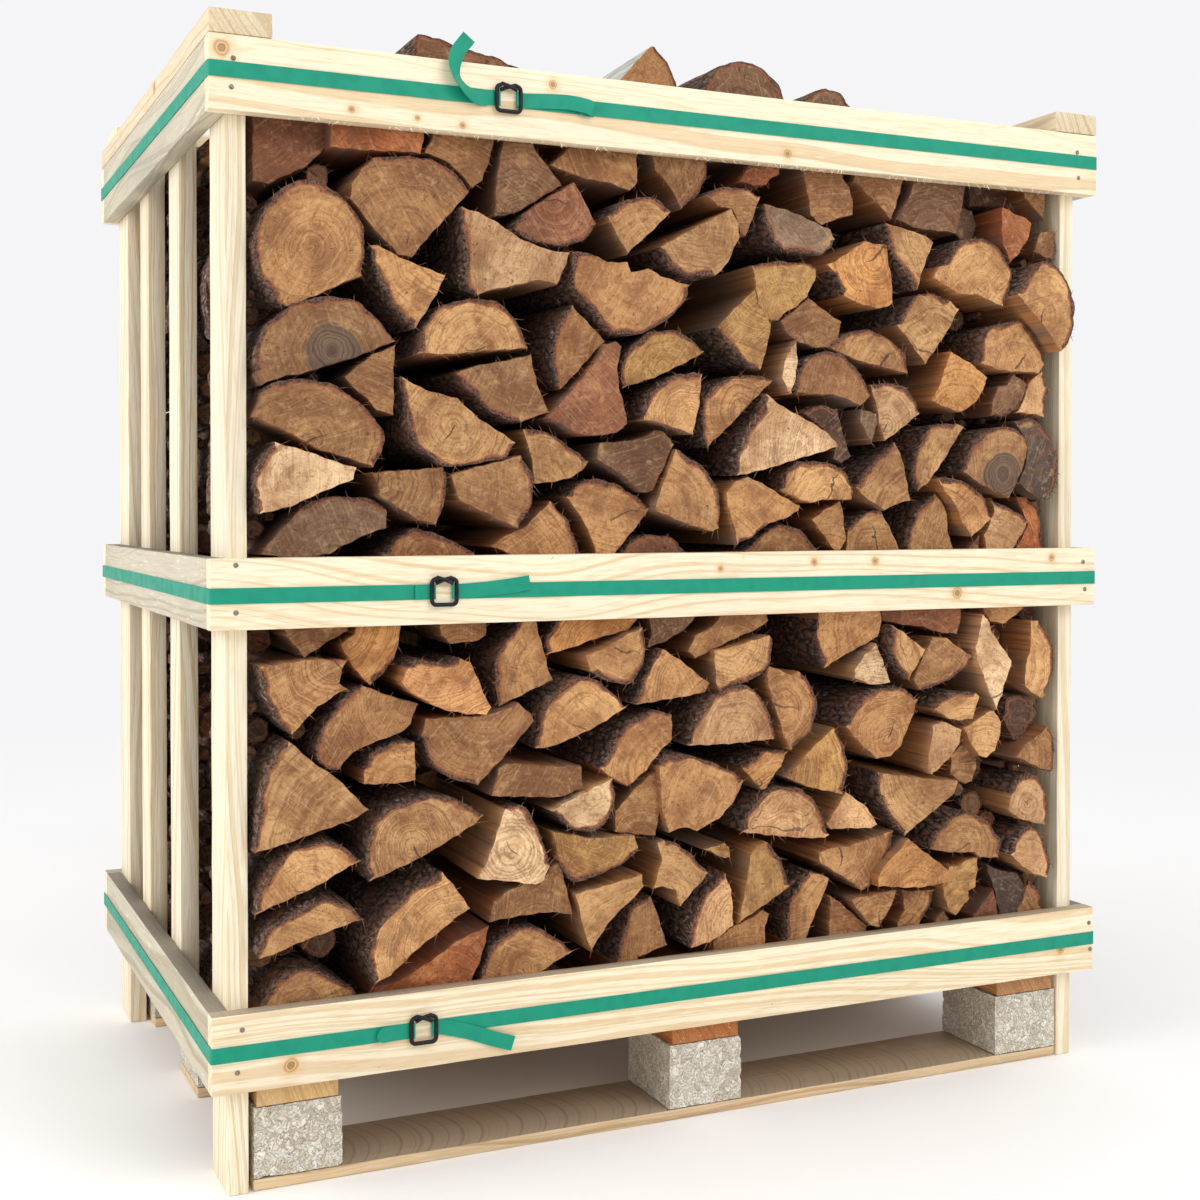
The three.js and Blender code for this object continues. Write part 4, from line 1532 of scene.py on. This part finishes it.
            def place(corners: np.ndarray) -> np.ndarray:
                """Turn the log and lay it on the heap.

                Args:
                    corners: the corners in millimetres.

                Returns:
                    The corners in metres.
                """
                x, y = corners[:, 0], corners[:, 1] - 120
                moved = np.column_stack([across + x * math.cos(angle) - y * math.sin(angle),
                                         deep + x * math.sin(angle) + y * math.cos(angle),
                                         corners[:, 2]])
                return self.ground.spots(moved)

            mesh = LogMesh()
            saw.cut(mesh, billet, 2.0, 236.0, 5.0,
                    [0, 0.01, 0.05, 0.12, 0.22, 0.34, 0.46, 0.58, 0.7, 0.82, 0.93, 0.99, 1],
                    (-500.0, 500.0), place, False, 0.0, aged=float(shape == "split"))
            settle(mesh.build(f"top_log_{number}", self.finishes), "firewood",
                   f"loose_log_{number}")

    def build(self) -> None:
        """Stack the whole pile."""
        drawn = [Billet.read(line) for table in (UPPER_LOGS, LOWER_LOGS)
                 for line in table.strip().replace("\n ", " ").splitlines()]
        for row, seed in (("front", 7), ("middle", 19), ("rear", 31)):
            billets = drawn + self.fill(seed)
            self.stack(row, billets, seed)
        self.loose()


# ---- timber

class Run(Enum):
    """The axis that a timber's grain follows."""

    ACROSS = 0
    DEEP = 1
    HEIGHT = 2


@dataclass
class Timber:
    """A sawn board: its node, the way its grain runs, its finish and its knots."""

    node: str
    run: Run
    finish: Material
    slot: str
    knots: list[tuple[Vector, float]] = field(default_factory=list)
    seed: int = 1
    dusty: bool = False
    edge: float = 1.3 * MM
    pitch: float = 46 * MM
    wear: float = 0.45 * MM

    def build(self) -> None:
        """Saw the board, wear its edges and keep its grain on the mesh."""
        dice = np.random.default_rng(self.seed)
        low, high = (Vector(v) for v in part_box(self.node))
        size = high - low
        board = cube_between(low, high)
        bpy.ops.object.mode_set(mode="EDIT")
        axis = self.run.value
        normal = [0.0, 0.0, 0.0]
        normal[axis] = 1.0
        cuts = max(2, int(size[axis] / self.pitch))
        for step in range(1, cuts):
            spot = low.copy()
            spot[axis] = low[axis] + size[axis] * step / cuts
            bpy.ops.mesh.select_all(action="SELECT")
            bpy.ops.mesh.bisect(plane_co=spot, plane_no=normal)
        bpy.ops.object.mode_set(mode="OBJECT")
        middle = (low + high) / 2
        for vertex in board.data.vertices:
            pull = Vector(dice.uniform(0, self.wear, 3))
            for index in range(3):
                if vertex.co[index] > middle[index]:
                    pull[index] = -pull[index]
            pull[axis] *= 0.6
            vertex.co += pull
        round_edges(board, self.edge, 40)
        smooth(35)
        board.data.materials.append(self.finish)
        self.mark(board.data, dice)
        settle(named(f"{self.node}_timber", board), self.slot, self.node)

    def mark(self, mesh: bpy.types.Mesh, dice: np.random.Generator) -> None:
        """Write the grain and knot attributes.

        Args:
            mesh: the board's mesh.
            dice: the board's own random draws.
        """
        order = [self.run.value] + [axis for axis in range(3) if axis != self.run.value]
        shift = dice.uniform(0, 5, 3)
        tilt = float(dice.uniform(0.35, 0.8))
        spots = np.empty(len(mesh.vertices) * 3, np.float32)
        mesh.vertices.foreach_get("co", spots)
        grain = spots.reshape(-1, 3)[:, order] * [1, 1, tilt] + shift
        far = Vector((1.0, 1.0, 1.0))
        marks, tops = [far] * len(mesh.loops), [0.0] * len(mesh.loops)
        flank = spots.reshape(-1, 3)[:, order[1]]
        flank = flank - (flank.min() + flank.max()) / 2
        for face in mesh.polygons:
            near = min(self.knots, key=lambda knot: (knot[0] - face.center).length, default=None)
            for corner in face.loop_indices:
                spot = mesh.vertices[mesh.loops[corner].vertex_index].co
                marks[corner] = (spot - near[0]) / near[1] if near else far
                tops[corner] = 1.0 if self.dusty and face.normal.z > 0.8 else 0.0
        write(mesh, "grain", "FLOAT_VECTOR", "POINT", grain)
        write(mesh, "side", "FLOAT", "POINT", flank)
        write(mesh, "knot", "FLOAT_VECTOR", "CORNER", marks)
        write(mesh, "dusty", "FLOAT", "CORNER", tops)


@dataclass
class Woodwork:
    """The crate's sawn timbers, the pallet's boards and its pressed blocks."""

    ground: Ground
    knots_seen: tuple[tuple[float, float, float], ...] = (
        (13, 1163, 1.4), (372, 1164, 0.8), (268, 1110, 0.6), (218, 1113, 0.5), (147, 1115, 0.6),
        (668, 1115, 0.8), (910, 599, 1.1), (705, 640, 0.7), (790, 640, 0.8), (580, 634, 0.6),
        (1055, 641, 0.8), (605, 647, 0.5), (81, 133, 1.2), (1072, 143, 1.0))

    def build(self) -> None:
        """Build every timber and block."""
        crate = PineFinish().build()
        side = PineFinish("weathered_pine", "#f3e8cd", "#d3b988", soiling=0.25).build()
        # The side rails take a darker, greyer copy of the rail pine. It is painted shade for the sides
        # that turn away from the key light, with some grey weathering and darker dust.
        grey = PineFinish("shade_painted_side_rail_pine", "#c8bfa8", "#a09278", soil="#8f8c84",
                          soiling=0.45, dust="#73695c", groove="#594f45", dusting=0.95).build()
        beam = PineFinish("runner_pine", "#dccbaa", "#bb9c70", soiling=0.25).build()
        worn = PineFinish("worn_pallet_pine", "#e0c49a", "#b58d5c", soiling=0.25,
                          soil="#857868", dust="#a39079", dusting=1.0).build()
        yellow = PineFinish("yellow_pallet_pine", "#d9b277", "#b98a4f", soiling=0.25).build()
        orange = PineFinish("resinous_pallet_pine", "#b56a2a", "#8a4a18", soiling=0.2).build()
        brown = PineFinish("aged_pallet_pine", "#b98451", "#8c5f39", soiling=0.35).build()
        chips = ChipFinish().build()
        front_knots = [(self.ground.spot(x, 0, z), size) for x, z, size in self.knots_seen]
        dice = np.random.default_rng(5)
        looks = {"post": (side, Run.HEIGHT), "slat": (side, Run.HEIGHT),
                 "rail_left": (grey, Run.DEEP), "rail_right": (grey, Run.DEEP),
                 "rail": (crate, Run.ACROSS), "cleat": (crate, Run.ACROSS),
                 "runner": (beam, Run.DEEP), "bottom": (worn, Run.ACROSS),
                 "deck": (worn, Run.ACROSS), "stringer_left": (yellow, Run.DEEP),
                 "stringer_centre": (orange, Run.DEEP), "stringer_right": (brown, Run.DEEP)}
        names = sorted(n if isinstance(n, str) else n["name"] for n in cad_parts)
        for number, name in enumerate(names):
            if name.startswith("block"):
                self.block(name, chips, number)
            look = next((looks[start] for start in looks if name.startswith(start)), None)
            if look is None:
                continue
            low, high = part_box(name)
            if name.startswith("rail_front"):
                knots = [k for k in front_knots if low[2] < k[0].z < high[2]]
            else:
                spot = Vector([float(dice.uniform(a, b)) for a, b in zip(low, high)])
                knots = [(spot, float(dice.uniform(0.5, 1.2)))]
            pallet = name.startswith(("bottom", "deck", "stringer"))
            dusty = (name.endswith("bottom") or name.startswith(("bottom", "deck"))
                     or name in ("rail_left_middle", "rail_right_middle"))
            Timber(name, look[1], look[0], "pallet_pine" if pallet else "crate_pine", knots,
                   number + 3, dusty).build()

    def block(self, node: str, finish: Material, seed: int) -> None:
        """Press one chip block: flat sides with small pits and chipped edges.

        Args:
            node: the CAD node that it stands for.
            finish: the chip material.
            seed: starts the block's random draws.
        """
        dice = np.random.default_rng(seed)
        low, high = (Vector(v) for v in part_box(node))
        block = cube_between(low, high)
        bpy.ops.object.mode_set(mode="EDIT")
        bpy.ops.mesh.select_all(action="SELECT")
        bpy.ops.mesh.subdivide(number_cuts=17)
        bpy.ops.object.mode_set(mode="OBJECT")
        middle = (low + high) / 2
        half = (high - low) / 2
        for vertex in block.data.vertices:
            away = vertex.co - middle
            sides = sum(abs(abs(away[i]) - half[i]) < 1e-5 for i in range(3))
            pit = float(dice.uniform(0, 0.7 * MM))
            if dice.random() < 0.08:
                pit += 1.0 * MM
            for i in range(3):
                if abs(abs(away[i]) - half[i]) < 1e-5:
                    vertex.co[i] -= math.copysign(pit, away[i])
                elif sides == 1:
                    vertex.co[i] += float(dice.uniform(-1.6, 1.6)) * MM
        smooth(25)
        block.data.materials.append(finish)
        settle(named(f"{node}_chips", block), "chip_block", node)


# ---- straps, buckles, nails

@dataclass
class Strapping:
    """One strap round a ring of rails, with its two tails and its bent wire buckle."""

    ground: Ground
    level: str
    height: float
    buckle: float
    left_tail: list[tuple[float, float, float]]
    right_tail: list[tuple[float, float, float]]
    wide: float = 16.0
    thick: float = 0.8
    skin: float = 0.7
    wire: float = 2.25
    half: float = 13.7
    bend: float = 4.6
    lift: float = 4.3
    twist: float = 0.0

    def ribbon(self, line: list[Vector], sides: list[Vector], finish: Material,
               round_end: float = 0.0) -> Piece:
        """Make a flat strip with thickness along a line.

        Args:
            line: its middle line in metres.
            sides: the way its width runs at each point.
            finish: the strap material.
            round_end: how far before its last point it starts to round off, in millimetres.

        Returns:
            The strip.
        """
        corners, faces = [], []
        for spot, side in zip(line, sides):
            wide = self.wide * MM
            left = (line[-1] - spot).length / MM
            if left < round_end:
                wide *= max(math.sqrt(1 - (1 - left / round_end) ** 2), 0.15)
            for share in (-0.5, 0.0, 0.5):
                corners.append(spot + side * wide * share)
        for index in range(len(line) - 1):
            for share in (0, 1):
                a = index * 3 + share
                faces.append((a, a + 3, a + 4, a + 1))
        strip = new_piece("strip", corners, faces, finish)
        take(strip)
        solidify = strip.modifiers.new("thickness", "SOLIDIFY")
        solidify.thickness = self.thick * MM
        solidify.offset = 0
        bpy.ops.object.modifier_apply(modifier=solidify.name)
        turn_outwards(strip)
        smooth(40)
        return strip

    def band(self) -> list[tuple[float, float]]:
        """Return the band's line round the crate, as across and deep, buckle to buckle.

        Returns:
            The line's points in millimetres.
        """
        wide, deep, out, soft = self.ground.wide, self.ground.deep, self.skin, 2.5
        start = self.buckle - self.half + 2
        end = self.buckle + self.half - 2
        line = [(start, -out)]
        for step in range(1, 8):
            line.append((start + (soft - start) * step / 8, -out))
        corners = ((soft, soft, 270, 180), (soft, deep - soft, 180, 90),
                   (wide - soft, deep - soft, 90, 0), (wide - soft, soft, 0, -90))
        for x, y, first, last in corners:
            for step in range(6):
                angle = math.radians(first + (last - first) * step / 5)
                line.append((x + (soft + out) * math.cos(angle),
                             y + (soft + out) * math.sin(angle)))
        for step in range(1, 13):
            line.append((wide - soft + (end - wide + soft) * step / 12, -out))
        return line

    def tail(self, points: list[tuple[float, float, float]], hand: int
             ) -> tuple[list[Vector], list[Vector]]:
        """Return a tail's line and its width's way, from under the buckle's bar outwards.

        Args:
            points: across from the buckle's middle, stand-off and height from the strap's
                middle, each in millimetres.
            hand: -1 for the left bar and 1 for the right one.

        Returns:
            The line's points, and the width's way at each.
        """
        loop = [(14.0, 0.7), (11.6, 0.9), (10.1, 1.5), (9.4, 2.8), (9.9, 4.2), (10.9, 4.3),
                (11.8, 3.0), (13.2, 1.9), (16.0, 1.6)]
        line = smooth_line([(x * hand, y, 0.0) for x, y in loop], 3)
        inside = len(line)
        line += smooth_line(points, 5)
        spots = [self.ground.spot(self.buckle + x, -y, self.height + z) for x, y, z in line]
        twist = self.twist if hand < 0 else 0.0
        sides: list[Vector] = []
        for index in range(len(spots)):
            ahead = spots[min(index + 1, len(spots) - 1)] - spots[max(index - 1, 0)]
            flat = Vector((ahead.x, 0, ahead.z))
            side = Vector((-flat.z, 0, flat.x))
            if index < inside:
                side = Vector((0, 0, 1))
            elif flat.length < 0.6 * abs(ahead.y) or flat.length < 1e-7:
                side = sides[-1].copy()
            side.normalize()
            if sides and side.dot(sides[-1]) < 0 or not sides and side.z < 0:
                side = -side
            sides.append(side)
        for index in range(inside, len(spots)):
            share = (index - inside) / (len(spots) - inside)
            turned = math.radians(twist) * math.sin(math.pi * min(max(share - 0.15, 0) / 0.6, 1))
            sides[index] = sides[index] * math.cos(turned) + Vector((0, math.sin(turned), 0))
        return spots, sides

    def build(self, strap: Material, steel: Material) -> None:
        """Make the band, both tails and the buckle.

        Args:
            strap: the strap's material.
            steel: the wire's material.
        """
        line = [self.ground.spot(x, y, self.height) for x, y in self.band()]
        strips = [self.ribbon(line, [Vector((0, 0, 1))] * len(line), strap)]
        for points, hand in ((self.left_tail, -1), (self.right_tail, 1)):
            strips.append(self.ribbon(*self.tail(points, hand), strap,
                                      9.0 if hand < 0 and self.level == "bottom" else 0.0))
        settle(named(f"green_strap_{self.level}", *strips), "green_strap", f"strap_{self.level}")
        self.bend_buckle(steel)

    def bend_buckle(self, steel: Material) -> None:
        """Bend the buckle from one wire, its two ends side by side across the top.

        Args:
            steel: the wire's material.
        """
        half, bend = self.half, self.bend
        route = [(half - 5.0, self.lift + 2.2, half - 4.6), (2.0, self.lift + 2.2, half - 1.6),
                 (-half + bend + 1.6, self.lift + 1.0, half + 1.4)]
        for x, z, first in ((-half + bend, half - bend, 100), (-half + bend, -half + bend, 180),
                            (half - bend, -half + bend, 270), (half - bend, half - bend, -10)):
            for step in range(7):
                angle = math.radians(first + 15 * step)
                route.append((x + bend * math.cos(angle), self.lift, z + bend * math.sin(angle)))
        route += [(half - bend - 1.6, self.lift, half + 1.0), (-2.0, self.lift - 1.4, half - 1.6),
                  (-half + 5.0, self.lift - 1.6, half - 4.6)]
        curve = bpy.data.curves.new("wire", "CURVE")
        curve.dimensions = "3D"
        curve.bevel_depth = self.wire * MM
        curve.bevel_resolution = 4
        curve.use_fill_caps = True
        spline = curve.splines.new("POLY")
        spline.points.add(len(route) - 1)
        for point, (x, y, z) in zip(spline.points, route):
            point.co = (*self.ground.spot(self.buckle + x, -y, self.height + z), 1.0)
        wire = bpy.data.objects.new("wire", curve)
        bpy.context.scene.collection.objects.link(wire)
        take(wire)
        bpy.ops.object.convert(target="MESH")
        wire = named(f"wire_buckle_{self.level}", bpy.context.object)
        wire.data.materials.clear()
        wire.data.materials.append(steel)
        turn_outwards(wire)
        smooth(50)
        settle(wire, "buckle_wire", f"buckle_{self.level}")


def smooth_line(points: list[tuple[float, float, float]], steps: int
                ) -> list[tuple[float, float, float]]:
    """Return points on a smooth curve through the given ones.

    Args:
        points: the points to pass through.
        steps: how many points to make of each span.

    Returns:
        The curve's points.
    """
    found = []
    spots = [np.array(p, float) for p in points]
    for index in range(len(spots) - 1):
        a, b = spots[index], spots[index + 1]
        before = spots[index - 1] if index else 2 * a - b
        after = spots[index + 2] if index + 2 < len(spots) else 2 * b - a
        for step in range(steps):
            t = step / steps
            spot = 0.5 * (2 * a + (b - before) * t + (2 * before - 5 * a + 4 * b - after) * t * t
                          + (3 * a - before - 3 * b + after) * t ** 3)
            found.append(tuple(spot))
    return found + [points[-1]]


@dataclass
class Fastenings:
    """Nail heads on the rails, and the splinters that stand from sawn edges."""

    ground: Ground
    head: float = 2.7
    front: tuple[tuple[float, float], ...] = (
        (25, 1154), (23, 1125), (1093, 1154), (1095, 1122), (26, 646), (26, 598), (1105, 635),
        (1108, 600), (31, 176), (26, 133), (1117, 172), (1119, 138))

    def nails(self, name: str, spots: list[Vector], lie: Vector, steel: Material
              ) -> None:
        """Make a set of nail heads.

        Args:
            name: the piece's name.
            spots: the middle of each head, on the wood's face.
            lie: the way the heads look.
            steel: the nail material.
        """
        made = []
        for spot in spots:
            clear_selection()
            turn = lie.to_track_quat("Z", "Y").to_euler()
            bpy.ops.mesh.primitive_cylinder_add(vertices=16, radius=self.head * MM, depth=1.6 * MM,
                                                location=spot - lie * 0.3 * MM, rotation=turn)
            nail = bpy.context.object
            bpy.ops.object.transform_apply(location=True, rotation=True, scale=True)
            round_edges(nail, 0.4 * MM, 30)
            smooth(40)
            nail.data.materials.append(steel)
            made.append(nail)
        settle(named(name, *made), "buckle_wire")

    def splinters(self, finish: Material) -> None:
        """Stand a fringe of small slivers under the top front rail.

        Args:
            finish: the timber's material.
        """
        dice = np.random.default_rng(77)
        corners, faces, grain = [], [], []
        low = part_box("rail_front_top")[0]
        for _ in range(230):
            across = float(dice.uniform(60, 1090))
            long, fat = float(dice.uniform(2, 11)), float(dice.uniform(0.35, 0.8))
            lean = float(dice.uniform(-1.2, 1.2))
            deep = float(dice.uniform(1, 6))
            top = low[2] / MM + 1.5
            base = len(corners)
            for dx, dy in ((-fat, 0), (fat, -fat * 0.4), (0, fat * 0.8)):
                corners.append(self.ground.spot(across + dx * 1.6, deep + dy, top))
            corners.append(self.ground.spot(across + lean * long, deep + dice.uniform(-3, 1),
                                            top - long * 0.7))
            faces += [(base, base + 2, base + 1), (base, base + 1, base + 3),
                      (base + 1, base + 2, base + 3), (base + 2, base, base + 3)]
            grain += [dice.uniform(0, 4, 3)] * 4
        piece = new_piece("rail_splinters", corners, faces, finish)
        write(piece.data, "grain", "FLOAT_VECTOR", "POINT", grain)
        write(piece.data, "knot", "FLOAT_VECTOR", "POINT", np.ones((len(corners), 3)))
        turn_outwards(piece)
        settle(piece, "crate_pine")

    def build(self) -> None:
        """Make every nail head and splinter."""
        steel = NailFinish().build()
        faces = (("nails_front", 0.0, Vector((0, -1, 0))),
                 ("nails_back", self.ground.deep, Vector((0, 1, 0))))
        for name, deep, lie in faces:
            spots = [self.ground.spot(x, deep, z) for x, z in self.front]
            self.nails(name, spots, lie, steel)
        self.splinters(bpy.data.materials["sawn_pine"])


# ---- studio

@dataclass
class Studio:
    """Pale floor, soft lights and the camera."""

    place: tuple[float, float, float] = (-0.8946, -2.0379, 0.7039)
    pitch: float = 89.181
    heading: float = -24.48
    lens: float = 49.83
    shift_up: float = -0.0571

    def floor(self) -> None:
        """Lay the studio floor, which fades into the backdrop far behind."""
        clear_selection()
        bpy.ops.mesh.primitive_plane_add(size=40, location=(0, 0, 0))
        floor = bpy.context.object
        floor.name = "studio_floor"
        floor.data.materials.append(StudioFloor().build())

    def light(self, name: str, spot: tuple[float, float, float], size: float, power: float,
              aim: tuple[float, float, float] = (0, 0, 0.6)) -> None:
        """Hang one square soft light.

        Args:
            name: the light's name.
            spot: where it hangs.
            size: its side in metres.
            power: its power in watts.
            aim: the point it looks at.
        """
        lamp = bpy.data.lights.new(name, "AREA")
        lamp.size = size
        lamp.energy = power
        holder = bpy.data.objects.new(name, lamp)
        holder.location = spot
        holder.rotation_euler = (Vector(aim) - Vector(spot)).to_track_quat("-Z", "Y").to_euler()
        bpy.context.scene.collection.objects.link(holder)

    def camera(self) -> None:
        """Stand the camera at its viewing angle."""
        lens = bpy.data.cameras.new("view")
        lens.lens = self.lens
        lens.sensor_width = 36
        lens.shift_y = self.shift_up
        holder = bpy.data.objects.new("view", lens)
        holder.location = self.place
        holder.rotation_euler = (math.radians(self.pitch), 0, math.radians(self.heading))
        bpy.context.scene.collection.objects.link(holder)
        bpy.context.scene.camera = holder

    def build(self) -> None:
        """Set the whole studio."""
        world = bpy.data.worlds.new("studio")
        world.use_nodes = True
        world.node_tree.nodes["Background"].inputs[0].default_value = linear("#fdfdff")
        world.node_tree.nodes["Background"].inputs[1].default_value = BACKDROP_LIGHT
        bpy.context.scene.world = world
        bpy.context.scene.view_settings.view_transform = "Standard"
        self.floor()
        self.light("key", (1.4, -3.6, 3.2), 2.4, 62)
        self.light("fill", (-3.8, -0.4, 2.2), 2.6, 70)
        self.camera()


def main() -> None:
    """Build the crate and report each piece."""
    logging.basicConfig(level=logging.INFO, format="%(message)s")
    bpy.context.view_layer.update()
    ground = Ground.measure()
    Studio().build()
    Woodwork(ground).build()
    finishes = [EndGrainFinish().build(), SplitFaceFinish().build(), BarkFinish().build()]
    WoodPile(ground, finishes).build()
    strap, steel = StrapFinish().build(), BuckleFinish().build()
    layout = (
        ("top", 1142.5, 319.0,
         [(-20, 1.7, 0), (-36, 3.4, -2), (-53, 7.2, 7), (-62, 8.5, 21), (-60.5, 8.8, 40),
          (-47, 9.4, 59)],
         [(20, 1.7, 0), (45, 2.2, 2), (70, 3.4, 3), (88, 5.6, 1), (96, 7.2, -1.5), (98.5, 5.8, -2.5),
          (96, 4.2, -2.5), (84, 2.6, -1)]),
        ("middle", 615.0, 245.5,
         [(-20, 1.7, 0), (-26, 2.6, 0), (-30.5, 3.2, 0), (-31.5, 2.4, 0), (-29, 1.7, 0)],
         [(20, 1.8, 0), (50, 1.6, 2), (78, 2.2, 5), (98, 3.0, 8)]),
        ("bottom", 152.5, 222.0,
         [(-20, 1.7, 0), (-32, 2.6, 0), (-42, 4.2, 0), (-48, 5.4, 0), (-51.5, 6.2, 0)],
         [(20, 1.8, 0), (50, 1.8, -9), (78, 3.0, -20), (101, 4.5, -28)]),
    )
    for level, height, buckle, left_tail, right_tail in layout:
        Strapping(ground, level, height, buckle, left_tail, right_tail,
                  twist=45.0 if level == "top" else 0.0).build(strap, steel)
    Fastenings(ground).build()


if __name__ == "__main__":
    main()
